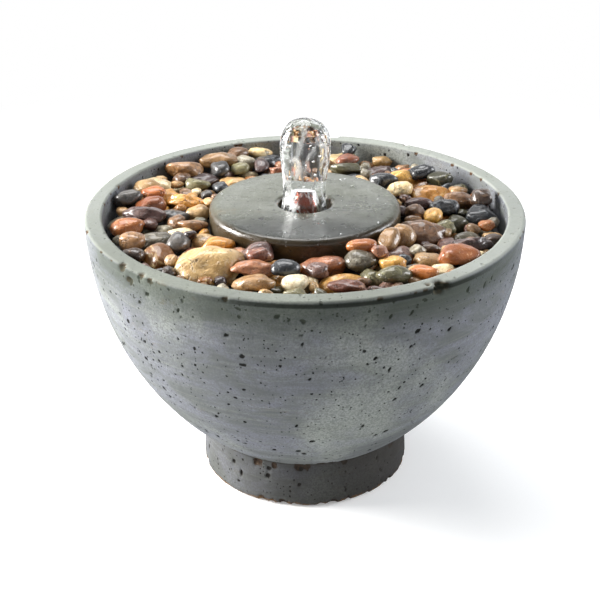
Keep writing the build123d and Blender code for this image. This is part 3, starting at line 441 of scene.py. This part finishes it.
def rough_noise(points, scale, octaves=4):
    """Fractal noise of each point, about -1 to 1."""
    return np.array([
        noise.fractal(Vector(p) * scale, 1.0, 2.0, octaves, noise_basis="PERLIN_ORIGINAL")
        for p in points
    ])


def normals_of(verts, faces):
    """Vertex normals of a quad mesh."""
    a, b, c, d = (verts[faces[:, k]] for k in range(4))
    n = np.cross(c - a, d - b)
    total = np.zeros_like(verts)
    for k in range(4):
        np.add.at(total, faces[:, k], n)
    return total / np.maximum(np.linalg.norm(total, axis=1, keepdims=True), 1e-12)


def scar(verts, marks):
    """Depth and colour weight of chips: marks are (x, y, z, radius, depth) in metres."""
    depth = np.zeros(len(verts))
    weight = np.zeros(len(verts))
    for x, y, z, radius, deep in marks:
        offset = verts - np.array([x, y, z])
        away = np.linalg.norm(offset, axis=1)
        near = np.flatnonzero(away < radius * 1.7)
        if len(near) == 0:
            continue
        ragged = 1 + 0.55 * rough_noise(verts[near] + z, 1.1 / radius, 3)
        share = np.clip(1.25 - away[near] / (radius * ragged), 0, 1)
        share = share * share * (3 - 2 * share)
        depth[near] = np.maximum(depth[near], deep * share)
        weight[near] = np.maximum(weight[near], share)
    return depth, weight


def mark(obj, name, weight):
    """Store a weight per vertex for the material to read."""
    layer = obj.data.attributes.new(name, "FLOAT", "POINT")
    layer.data.foreach_set("value", weight.astype(np.float32))


# ---------------------------------------------------------------- bowl
# Seen from the side, the faces of the bowl's wall are arcs of ellipses centred at its top:
# CENTRE_R is where their middle lies, and each pair holds the half axes across and upright.
BOWL_TOP = 0.198
CENTRE_R = -0.0186
OUTER = (0.1686, 0.1956)
INNER = (0.1566, 0.1780)
FOOT_TOP = 0.035
FOOT_R = 0.0745
FLOOR = 0.04995  # level of the reservoir's floor
RIM_FLAT = 0.1979  # level of the rim's flat top
RIM_TURN = 0.1957  # level where the rim's outer edge starts to round
RIM_ROUND = 0.0022  # and its radius


def wall(semi, z):
    """Radius of the inner or outer face at a level."""
    return CENTRE_R + semi[0] * math.sqrt(max(0.0, 1 - ((BOWL_TOP - z) / semi[1]) ** 2))


def on_wall(degrees, z, out=0.0):
    """A point of the outer face of the wall or the foot, moved outwards."""
    r = (wall(OUTER, z) if z > FOOT_TOP else FOOT_R) + out
    return r * math.cos(math.radians(degrees)), r * math.sin(math.radians(degrees)), z


def bowl_profile():
    """Bowl and foot as one skin, from the foot's inner edge up outside and down inside."""
    wall_z = np.concatenate([np.linspace(0.0352, 0.19, 76), np.linspace(0.1912, 0.1952, 4)])
    rim_r = wall(OUTER, RIM_TURN)
    lip_r = wall(INNER, BOWL_TOP)
    return (
        # the foot: inner edge, underside, outer edge and side
        arc(0.0598, 0.0020, 0.0018, 180, 270, 3)
        + polyline([(0.062, 0.0002), (0.0725, 0.0002)], 0.003)
        + arc(0.0735, 0.0021, 0.0019, -80, -5, 5)
        + polyline([(0.0753, 0.0035), (0.0738, 0.0345)], 0.0022)
        # the outer face and the rim
        + [(wall(OUTER, z), z) for z in wall_z]
        + arc(rim_r - RIM_ROUND, RIM_TURN, RIM_ROUND, 4, 88, 6)
        + polyline([(rim_r - 0.0030, RIM_FLAT), (lip_r + 0.0020, RIM_FLAT)], 0.0017)
        + arc(lip_r + 0.0016, 0.1963, 0.0016, 95, 178, 4)
        # the inner face, the floor, and the hollow under it
        + [(wall(INNER, z) + 0.0001, z) for z in np.linspace(0.1945, 0.0585, 16)]
        + arc(0.0621, 0.0590, 0.0090, -10, -88, 5)
        + polyline([(0.0600, FLOOR), (0.004, FLOOR)], 0.0080)
        + polyline([(0.004, 0.0351), (0.056, 0.0351)], 0.0105)
        + polyline([(0.0561, 0.0335), (0.0579, 0.0040)], 0.008)
    )


BOWL_STEPS = 600
verts, faces = lathe(bowl_profile(), BOWL_STEPS)
normals = normals_of(verts, faces)

dice = random.Random(7)  # for the scars of the bowl, and after it of the cap
chips = [  # the photo's larger chips, by angle round the wall; radius and depth come last
    (*on_wall(302.7, 0.1965, -0.002), 0.0052, 0.0042),
    (*on_wall(300.2, 0.1975, -0.005), 0.0022, 0.0012),
    (*on_wall(224.0, 0.190), 0.0030, 0.0020),
    (*on_wall(221.0, 0.1968, -0.001), 0.0034, 0.0018),
    (*on_wall(228.5, 0.1972, -0.001), 0.0026, 0.0014),
    (*on_wall(231.5, 0.196, 0.0), 0.0022, 0.0014),
    (*on_wall(81.0, 0.1968, -0.001), 0.0042, 0.0024),
    (*on_wall(58.0, 0.1975, -0.002), 0.0020, 0.0012),
    (*on_wall(252.0, 0.1962, 0.0), 0.0022, 0.0014),
]
for _ in range(46):  # small nicks along the rim's edges
    a = dice.uniform(0, 360)
    back = dice.choice((0.0, 0.0, -0.0115))  # one in three is on the inner edge
    chips.append((*on_wall(a, 0.197, back),
                  dice.uniform(0.0010, 0.0020), dice.uniform(0.0004, 0.0010)))
pits = []
for _ in range(230):  # blow holes in the wall
    a = dice.uniform(0, 360)
    pits.append((*on_wall(a, dice.uniform(0.06, 0.188)),
                 dice.uniform(0.0008, 0.0016), dice.uniform(0.0010, 0.0018)))
for _ in range(30):  # and in the foot
    a = dice.uniform(0, 360)
    pits.append((*on_wall(a, dice.uniform(0.006, 0.032)),
                 dice.uniform(0.0010, 0.0021), dice.uniform(0.0010, 0.0018)))
for _ in range(60):  # broken lower edge of the foot, and its crease with the bowl
    a = dice.uniform(0, 360)
    low = dice.random() < 0.62
    z = 0.001 if low else dice.uniform(0.030, 0.038)
    chips.append((*on_wall(a, z), dice.uniform(0.0018, 0.0044), dice.uniform(0.0006, 0.0018)))
chip_depth, chip_weight = scar(verts, chips)
pit_depth, pit_weight = scar(verts, pits)
depth = np.maximum(chip_depth, pit_depth)
edge_wear = np.clip(1 - verts[:, 2] / 0.006, 0, 1) * (0.5 + 0.5 * rough_noise(verts, 180.0, 3))
depth += 0.00022 * rough_noise(verts, 26.0) + 0.0001 * rough_noise(verts, 240.0, 3)
depth += 0.0007 * np.clip(edge_wear, 0, 1)
in_foot = (verts[:, 2] < 0.06) & (np.hypot(verts[:, 0], verts[:, 1]) < 0.0605)
depth[in_foot] = 0.0001  # the floor and the hollow foot stay plain
verts = verts - normals * depth[:, None]
verts[:, 2] = np.clip(verts[:, 2], 0.00005, BOWL_TOP - 0.00005)


def weathered_and_shaded(g, colour):
    """What only the bowl has: the foot's brown edge, and painted light and shade on foot, wall and
    rim.
    """
    z = g.along(g.place, Z_AXIS)
    across = g.along(g.place, X_AXIS)
    # the foot: painted shade, darker to the right, brown at its lower edge, painted shade in its
    # top crease
    side = g.span(across, -0.07, 0.05, 0.45, 0.9)
    # painted shade over the foot, heavier on the right
    colour = g.mix(g.times(g.span(z, 0.0365, 0.0345), side), colour, tint("393633"))
    ragged = g.math("MULTIPLY_ADD", g.noise(g.place, 130.0, 5.0, 0.7), -0.012, z)
    colour = g.mix(g.span(ragged, -0.0028, -0.0052, 0.0, 0.75), colour, tint("7d5f3e"))
    # painted shade in the crease where the foot meets the bowl
    crease = g.math("ABSOLUTE", g.math("SUBTRACT", z, 0.0348))
    colour = g.mix(g.span(crease, 0.0022, 0.0, 0.0, 0.6), colour, tint("2e2a24"))
    # painted shade: a darker, greener band under the rim, in front
    ahead = g.span(g.along(g.place, FRONT), 0.02, 0.11)
    under = g.times(g.span(z, 0.165, 0.192), g.span(z, 0.1977, 0.1958))
    colour = g.mix(g.times(under, g.times(ahead, 0.7)), colour, tint("444a40"))
    # the rim: paler, with painted light at the right and the back, painted shade at the front left
    rim_tone_light_and_shade = g.mix(g.span(across, -0.12, 0.06), tint("93978f"), tint("a3a79f"))
    rim_front_shade = g.span(g.along(g.place, (-0.35, -0.94, 0)), 0.05, 0.135)
    # painted shade at the front left of the rim
    rim_tone_light_and_shade = g.mix(rim_front_shade, rim_tone_light_and_shade, tint("80847b"))
    colour = g.mix(g.span(z, 0.1964, 0.1976, 0.0, 0.7), colour, rim_tone_light_and_shade)
    # painted shadow: a dark line just below its edge, in front
    line = g.times(g.span(z, 0.1930, 0.1942), g.span(z, 0.1970, 0.1957))
    facing = g.span(g.along(g.place, (0.25, -0.97, 0)), 0.112, 0.142, 0.0, 0.8)
    return g.mix(g.times(line, facing), colour, tint("1c1f1a"))


BOWL_CONCRETE = concrete("bowl_concrete", tint("a3a89f"), tint("6a6d6c"), tint("7d7f87"), 0.0,
                         weathered_and_shaded)
bowl = piece("bowl_shell", verts, faces, BOWL_CONCRETE)
mark(bowl, "chip", chip_weight)
mark(bowl, "pit", pit_weight)


def cutter(name, verts, faces):
    """A bare mesh object to cut with."""
    mesh = bpy.data.meshes.new(name)
    mesh.from_pydata([tuple(v) for v in verts], [], faces)
    obj = bpy.data.objects.new(name, mesh)
    bpy.context.scene.collection.objects.link(obj)
    return obj


def prism(section, low, high, place):
    """A closed prism: section points at two levels, each put in place by a function."""
    n = len(section)
    verts = [place(x, y, low) for x, y in section] + [place(x, y, high) for x, y in section]
    faces = [list(range(n))[::-1], list(range(n, 2 * n))]
    faces += [[k, (k + 1) % n, n + (k + 1) % n, n + k] for k in range(n)]
    return verts, faces


STOPPER_X = -0.044
SEAT_R = 0.009  # radius of the stopper's seat at the floor's underside
SEAT_FLARE = 0.1333  # and how it widens upwards
NOTCH_R = 0.0045


def in_seat(x, y, z):
    """A point of the stopper's seat, from a unit circle."""
    r = SEAT_R + (z - FOOT_TOP) * SEAT_FLARE
    return STOPPER_X + x * r, y * r, z


seat = [(math.cos(a), math.sin(a)) for a in np.linspace(0, 2 * math.pi, 48, endpoint=False)]
seat_tool = cutter("seat_tool", *prism(seat, 0.030, 0.054, in_seat))
# the cord's notch: round on top and open downwards, through the back of the foot
notch = [(NOTCH_R, -0.003)]
notch += [(NOTCH_R * math.cos(a), 0.006 + NOTCH_R * math.sin(a))
          for a in np.linspace(0, math.pi, 20)]
notch += [(-NOTCH_R, -0.003)]
notch_tool = cutter("notch_tool", *prism(notch, 0.050, 0.080, lambda x, z, y: (x, y, z)))
for tool in (seat_tool, notch_tool):
    cut = bowl.modifiers.new("cut", "BOOLEAN")
    cut.operation = "DIFFERENCE"
    cut.solver = "EXACT"
    cut.object = tool
depsgraph = bpy.context.evaluated_depsgraph_get()
cut_mesh = bpy.data.meshes.new_from_object(bowl.evaluated_get(depsgraph))
bowl.modifiers.clear()
bowl.data = cut_mesh
for tool in (seat_tool, notch_tool):
    bpy.data.objects.remove(tool)
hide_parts("bowl", "foot_ring")
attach(bowl, "fountain")

# ---------------------------------------------------------------- stone cap
CAP_TOP = 0.2002


def cap_profile():
    """The holed plate with the recess under it, from the recess up through the hole."""
    return (
        polyline([(0.0570, 0.1826), (0.0182, 0.1826)], 0.0045)
        + polyline([(0.0181, 0.1828), (0.0181, 0.1965)], 0.0018)
        + arc(0.0210, 0.1972, 0.0029, 172, 92, 6)
        + polyline([(0.0215, 0.2001), (0.0350, CAP_TOP), (0.0480, 0.2000), (0.0610, 0.1995)],
                   0.0014)
        + arc(0.0618, 0.1952, 0.0041, 80, 2, 9)
        + polyline([(0.0659, 0.1950), (0.0659, 0.1830)], 0.0014)
        + arc(0.0629, 0.1826, 0.0029, -5, -88, 6)
        + polyline([(0.0620, 0.1797), (0.0573, 0.1797)], 0.002)
        + [(0.0571, 0.1800), (0.0570, 0.1822)]
    )


verts, faces = lathe(cap_profile(), 420)
normals = -normals_of(verts, faces)  # this profile runs the other way than the bowl's
faces = faces[:, ::-1]
nicks = []
for _ in range(26):
    a = math.radians(dice.uniform(0, 360))
    r = dice.choice((0.0655, 0.0648, 0.0185))
    nicks.append((r * math.cos(a), r * math.sin(a), dice.uniform(0.190, 0.1985),
                  dice.uniform(0.0010, 0.0022), dice.uniform(0.0003, 0.0008)))
depth, nick_weight = scar(verts, nicks)
depth += 0.00012 * (1 + rough_noise(verts, 45.0)) + 0.00005 * (1 + rough_noise(verts, 320.0, 3))
depth[verts[:, 2] < 0.1829] *= 0.3  # the recess and the underside are smoother
verts = verts - normals * np.maximum(depth, 0)[:, None]


def filmed_and_shaded(g, colour):
    """What only the cap has: streaks, painted shade on its front, and brown film on its edges."""
    radius = g.from_axis()
    ragged = g.math("MULTIPLY_ADD", g.noise(g.place, 90.0, 5.0, 0.7), 0.006, radius)
    streaks = g.noise(g.stretch(g.place, (1.0, 0.16, 1.0)), 300.0, 4.0, 0.7)
    colour = g.mix(g.span(streaks, 0.5, 0.75, 0.0, 0.35), colour, tint("8f928a"))
    # painted shade: the cap darker towards its front
    ahead = g.math("MULTIPLY_ADD", g.noise(g.place, 24.0), 0.02, g.along(g.place, FRONT))
    colour = g.mix(g.span(ahead, 0.020, 0.058, 0.0, 0.78), colour, tint("26282a"))
    colour = g.mix(g.span(ragged, 0.0635, 0.0690, 0.0, 0.88), colour, tint("3a2e1b"))
    return g.mix(g.span(ragged, 0.0245, 0.0205, 0.0, 0.5), colour, tint("5a4a38"))


CAP_STONE = concrete("cap_stone", tint("74776b"), tint("53564a"), tint("66695d"), 1.0, filmed_and_shaded)
cap = piece("cap_plate", verts, faces, CAP_STONE)
mark(cap, "chip", nick_weight)
radius = np.hypot(verts[:, 0], verts[:, 1])
mark(cap, "dry", 0.85 * np.clip((radius - 0.0575) / 0.004, 0, 1))  # less film on its edge
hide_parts("cap_disc")
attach(cap, "cap")

# ---------------------------------------------------------------- pebbles
SHADES = {  # three shades from dark to pale, then specks and veins
    "tan": (["74542f", "a67e4e", "caa672"], "4a3524", "dcc3a0"),
    "brown": (["3c2817", "6b4a2e", "987048"], "23150d", "b08a68"),
    "amber": (["84521a", "bc8030", "deab54"], "5c3a14", "f0d49a"),
    "orange": (["8c4818", "bc6f2e", "dba05c"], "6b3012", "f2c89a"),
    "rust": (["4a2416", "7a432a", "a8704c"], "2c130c", "d8a886"),
    "plum": (["2f1d1b", "563a34", "8a6a5c"], "1c1212", "a48a80"),
    "slate": (["0d0f12", "22262b", "5b554e"], "5f646b", "868d94"),
    "grey": (["4c4639", "7b725d", "aaa088"], "2f2c25", "cdc7b6"),
    "cream": (["a8834e", "dabf8a", "f0e3c0"], "8c6a3c", "fff4dc"),
    "olive": (["37351f", "5d583a", "878059"], "22200f", "b3ae86"),
}
# how broken and sharp the stones of a colour are
ANGULAR = {"rust": 0.8, "slate": 0.6, "olive": 0.55, "plum": 0.45, "amber": 0.3, "orange": 0.3}
GROW = 1.14  # the stones press together, so each is larger than its bare ellipsoid
GROW_ON_TOP = 0.17  # more for those that reach from BED_TOP up through TOP_COURSE
BED_TOP = 0.187
TOP_COURSE = 0.006
LIFT = 0.0016  # and the bed is heaped a little higher
LARGE_STONE = 0.0095  # half a length from which a stone gets a finer mesh


def icosphere(level):
    """Unit vectors and triangles of a round ball."""
    bm = bmesh.new()
    bmesh.ops.create_icosphere(bm, subdivisions=level, radius=1.0)
    v = np.array([x.co[:] for x in bm.verts])
    f = np.array([[x.index for x in face.verts] for face in bm.faces])
    bm.free()
    return v / np.linalg.norm(v, axis=1, keepdims=True), f


BALLS = {level: icosphere(level) for level in (3, 4)}


def loose_parts(mesh):
    """Vertex arrays of the separate solids in a mesh."""
    n = len(mesh.vertices)
    co = np.empty(n * 3)
    mesh.vertices.foreach_get("co", co)
    co = co.reshape(-1, 3)
    keys = {}
    root = list(range(n))

    def find(i):
        while root[i] != i:
            root[i] = root[root[i]]
            i = root[i]
        return i

    for i, c in enumerate(np.round(co, 7)):
        j = keys.setdefault(tuple(c), i)
        root[find(i)] = find(j)
    for face in mesh.polygons:
        vs = list(face.vertices)
        for v in vs[1:]:
            root[find(v)] = find(vs[0])
    groups = {}
    for i in range(n):
        groups.setdefault(find(i), set()).add(tuple(np.round(co[i], 7)))
    return [np.array(sorted(points)) for points in groups.values()]


def pebble_surface(directions, angular, rng):
    """Radius in each direction of a worn stone whose ellipsoid is the unit ball."""
    power = rng.uniform(2.0, 2.7)
    radius = (np.abs(directions) ** power).sum(1) ** (-1 / power)
    radius = 1 + 0.75 * (radius - 1)
    cuts = rng.randint(4, 6) + round(4 * angular)
    for _ in range(cuts):
        n = np.array([rng.gauss(0, 1), rng.gauss(0, 1), rng.gauss(0, 1)])
        n /= np.linalg.norm(n)
        off = rng.uniform(0.74 - 0.10 * angular, 0.95)
        facing = directions @ n
        flat = np.where(facing > 0.05, off / np.maximum(facing, 0.05), 20.0)
        k = 9.0 + 10.0 * angular  # a high k leaves a crisper edge
        radius = -np.log(np.exp(-k * radius) + np.exp(-k * flat)) / k
    where = directions + np.array([rng.uniform(-9, 9) for _ in range(3)])
    lumps = rng.uniform(0.10, 0.24)
    radius *= 1 + lumps * rough_noise(where, 1.1, 2) + 0.045 * rough_noise(where, 2.5, 3)
    return radius


for kind, (shades, spots, vein) in SHADES.items():
    node = f"pebbles_{kind}"
    stones = loose_parts(NODES[node].data)
    rng = random.Random(kind)
    all_verts, all_faces, all_own = [], [], []
    count = 0
    for points in stones:
        middle = (points.max(0) + points.min(0)) / 2
        spread = points - points.mean(0)
        axes = np.linalg.eigh(spread.T @ spread)[1]
        half = np.abs(spread @ axes).max(0)
        level = 4 if half.max() > LARGE_STONE else 3
        directions, tri = BALLS[level]
        radius = pebble_surface(directions, ANGULAR.get(kind, 0.1), rng)
        shape = directions * radius[:, None]
        shape /= np.abs(shape).max(0)
        height = (points[:, 2].max() - BED_TOP) / TOP_COURSE
        swell = GROW + GROW_ON_TOP * min(1.0, max(0.0, height))
        all_verts.append((shape * half * swell) @ axes.T + middle + (0, 0, LIFT))
        all_faces.append(tri + count)
        own = np.array([rng.random(), rng.random(), rng.random()])
        all_own.append(np.tile(own, (len(directions), 1)))
        count += len(directions)
    material = stone(f"stone_{kind}", [tint(c) for c in shades], tint(spots), tint(vein))
    heap = piece(f"stones_{kind}", np.vstack(all_verts), np.vstack(all_faces), material)
    layer = heap.data.attributes.new("stone", "FLOAT_VECTOR", "POINT")
    layer.data.foreach_set("vector", np.vstack(all_own).astype(np.float32).ravel())
    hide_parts(node)
    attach(heap, "tray")

# ---------------------------------------------------------------- water
def water(name, frothy=0.0):
    """Clear water; fine froth makes parts of it milky."""
    g = Graph(name)
    ripple = g.noise(g.stretch(g.place, (1.0, 1.0, 0.35)), 160.0, 3.0, 0.5, 0.6)
    rough, through = 0.0, 1.0
    if frothy:
        froth = g.noise(g.stretch(g.place, (1.0, 1.0, 0.45)), 150.0, 4.0, 0.6, 0.8)
        milk = g.span(froth, 0.50, 0.68, 0.0, frothy)
        rough, through = g.times(milk, 0.5), g.math("SUBTRACT", 1.0, milk)
    return g.surface(Base_Color=tint("fbfdfd"), Roughness=rough, IOR=1.333,
                     Transmission_Weight=through, Normal=g.bump(ripple, 0.10, 0.0005))


JET_PROFILE = [  # height and radius of the column
    (0.1870, 0.0178), (0.1915, 0.0174), (0.1955, 0.0165), (0.2000, 0.0156), (0.2080, 0.0151),
    (0.2140, 0.0153), (0.2200, 0.0159), (0.2260, 0.0167), (0.2320, 0.0173), (0.2380, 0.0177),
    (0.2430, 0.0177), (0.2475, 0.0170), (0.2515, 0.0154), (0.2548, 0.0127), (0.2572, 0.0093),
    (0.2587, 0.0055), (0.2595, 0.0019),
]
NOZZLE_HOLLOW = [  # the same for the hollow that fits over the nozzle's tip
    (0.1871, 0.0099), (0.1903, 0.0098), (0.1970, 0.0083), (0.2040, 0.0068), (0.2102, 0.0055),
    (0.2106, 0.0045), (0.2107, 0.002),
]
JET_STEPS = 180
FOLDS, RIPPLES = 0.085, 0.020  # depth, as a share of the radius


def jet_radius(z):
    """Radius of the smooth column at a level."""
    return float(np.interp(z, *zip(*JET_PROFILE)))


levels = np.concatenate([np.linspace(0.187, 0.2475, 84), np.linspace(0.248, 0.2595, 34)])
angles = np.linspace(0, 2 * math.pi, JET_STEPS, endpoint=False)
verts = []
for z in levels:
    for a in angles:
        p = Vector((math.cos(a), math.sin(a)))
        fold = noise.noise(Vector((p.x * 1.5, p.y * 1.5, z * 24)))
        fine = noise.noise(Vector((p.x * 3.2, p.y * 3.2, z * 60 + 5)))
        calm = min(1.0, (0.262 - z) / 0.02)  # the dome has fewer ripples
        swell = 1 - FOLDS * (0.5 + fold) - RIPPLES * (0.5 + fine) * calm
        r = jet_radius(z) * swell
        verts.append((r * math.cos(a), r * math.sin(a), z))
for z, r in NOZZLE_HOLLOW:
    verts += [(r * math.cos(a), r * math.sin(a), z) for a in angles]


def band(low, high, i, j):
    """The face between two rings and two of their points."""
    low, high = low * JET_STEPS, high * JET_STEPS
    return [low + i, low + j, high + j, high + i]


top = len(levels) - 1
inner = len(levels)  # the hollow's first ring
last = inner + len(NOZZLE_HOLLOW) - 1  # and its last
sides = [(i, (i + 1) % JET_STEPS) for i in range(JET_STEPS)]
faces = [band(k, k + 1, i, j) for k in range(top) for i, j in sides]
faces.append([top * JET_STEPS + i for i in range(JET_STEPS)])
for i, j in sides:
    faces.append(band(0, inner, j, i))
    faces += [band(k, k + 1, j, i) for k in range(inner, last)]
faces.append([last * JET_STEPS + i for i in range(JET_STEPS)][::-1])
jet = piece("jet_column", verts, faces, water("jet_water", 0.62))
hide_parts("water_jet")
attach(jet, "fountain")
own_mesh(jet)

# air bubbles carried up in the jet, each a small dented bead facing inwards
directions, tri = icosphere(2)
all_verts, all_faces = [], []
bubble_dice = random.Random(3)
count = 0
while count < 60:
    z = bubble_dice.uniform(0.190, 0.2545)
    limit = jet_radius(z) * 0.86
    a = bubble_dice.uniform(0, 2 * math.pi)
    r = limit * bubble_dice.uniform(0.55, 0.97)
    if z < 0.212 and r < 0.0108:  # inside the nozzle or too near it
        continue
    size = bubble_dice.choice((0.0003, 0.0004, 0.0006, 0.0009))
    squeeze = np.array([1.0, 1.0, bubble_dice.uniform(0.8, 1.5)])
    centre = np.array([r * math.cos(a), r * math.sin(a), z])
    dent = 1 + 0.12 * rough_noise(directions + count, 1.3, 2)
    all_verts.append(directions * dent[:, None] * size * squeeze + centre)
    all_faces.append(tri[:, ::-1] + count * len(directions))
    count += 1
bubbles = piece("jet_bubbles", np.vstack(all_verts), np.vstack(all_faces),
                water("bubble_water", 0.1))
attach(bubbles, "fountain")
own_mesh(bubbles)

# drops that lie on the cap: the photo's three largest, then small ones near the jet
DROP_LEVEL = 0.19985  # the cap's face under them
directions, tri = icosphere(3)
all_verts, all_faces = [], []
drop_dice = random.Random(21)
spots = [(0.0335, 0.0285, 0.0021), (0.0150, -0.0290, 0.0008), (0.0360, 0.0250, 0.0009)]
for _ in range(52):
    a = drop_dice.gauss(-1.2, 1.7)
    r = 0.023 + min(0.037, drop_dice.expovariate(70.0))
    size = drop_dice.choice((0.0003, 0.0004, 0.0005, 0.0007))
    spots.append((r * math.cos(a), r * math.sin(a), size))
for k, (x, y, size) in enumerate(spots):
    bead = directions * np.array([size, size, size * 0.62])
    bead *= (1 + 0.12 * rough_noise(directions + 3 * k, 0.8, 1))[:, None]
    bead[:, 2] = np.maximum(bead[:, 2], -size * 0.1)  # flat underneath
    all_verts.append(bead + (x, y, DROP_LEVEL))
    all_faces.append(tri + k * len(directions))
drops = piece("cap_drops", np.vstack(all_verts), np.vstack(all_faces), water("drop_water"))
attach(drops, "cap")

# ---------------------------------------------------------------- floor, light and camera
bpy.ops.mesh.primitive_plane_add(size=12.0, location=(0, 0, -0.0002))
floor = bpy.context.object
floor.name = "floor"
g = Graph("floor_white")
lit = g.add("ShaderNodeAddShader")
g.feed(lit, 0, g.add("ShaderNodeBsdfDiffuse", Color=(0.86, 0.86, 0.86)).outputs[0])
g.feed(lit, 1, g.add("ShaderNodeEmission", Color=(1, 1, 1), Strength=0.28).outputs[0])
paper = g.add("ShaderNodeEmission", Color=(1, 1, 1), Strength=1.0).outputs[0]
bounce = g.add("ShaderNodeBsdfDiffuse", Color=(0.74, 0.75, 0.77)).outputs[0]
runs_out = g.span(g.from_axis(), 0.35, 0.95)  # far from the object the floor is plain white
seen = g.blend(runs_out, lit.outputs[0], paper)
straight = g.add("ShaderNodeLightPath").outputs["Is Camera Ray"]
floor.data.materials.append(g.show(g.blend(straight, bounce, seen)))

g = Graph("studio", world=True)
rays = g.add("ShaderNodeLightPath").outputs
# what wet surfaces mirror: bright near the horizon, dark overhead
height = g.along(g.place, Z_AXIS)
mirrored = g.add("ShaderNodeBackground", Color=(0.97, 0.98, 1.0),
                 Strength=g.span(height, 0.28, 0.52, 1.15, 0.16)).outputs[0]
soft = g.add("ShaderNodeBackground", Color=(0.93, 0.96, 1.0), Strength=0.30).outputs[0]
white = g.add("ShaderNodeBackground", Color=(1, 1, 1), Strength=1.0).outputs[0]
lighting = g.blend(rays["Is Glossy Ray"], soft, mirrored)
straight = g.math("MAXIMUM", rays["Is Camera Ray"], rays["Is Transmission Ray"])
bpy.context.scene.world = g.show(g.blend(straight, lighting, white))


def softbox(name, place, target, size, power, colour=(1, 1, 1)):
    """A rectangular area light aimed at a point."""
    light = bpy.data.lights.new(name, "AREA")
    light.shape = "RECTANGLE"
    light.size, light.size_y = size
    light.energy = power
    light.color = colour
    obj = bpy.data.objects.new(name, light)
    bpy.context.scene.collection.objects.link(obj)
    obj.location = place
    aim = Vector(target) - Vector(place)
    obj.rotation_euler = aim.to_track_quat("-Z", "Y").to_euler()


softbox("key_left", (-1.17, 0.13, 0.58), (0, 0, 0.13), (0.6, 0.8), 54.0, (1.0, 0.985, 0.96))
softbox("top_back", (-0.15, 0.75, 1.42), (0, 0, 0.19), (1.0, 0.6), 15.0)
softbox("fill_right", (1.25, 0.25, 0.55), (0, 0, 0.12), (0.5, 0.8), 16.0, (0.95, 0.97, 1.0))

# the camera that fits the photo's ellipses: 26.42 degrees down, a little off the middle
camera_data = bpy.data.cameras.new("camera")
camera = bpy.data.objects.new("camera", camera_data)
bpy.context.scene.collection.objects.link(camera)
bpy.context.scene.camera = camera
camera.location = (0.0, -0.77726, 0.51108)
camera.rotation_euler = (math.radians(90 - 26.42), 0, 0)
camera_data.sensor_width = 36.0
camera_data.lens = 72.9762
camera_data.shift_x = -0.00825
camera_data.clip_end = 50.0
bpy.context.scene.view_settings.view_transform = "Standard"
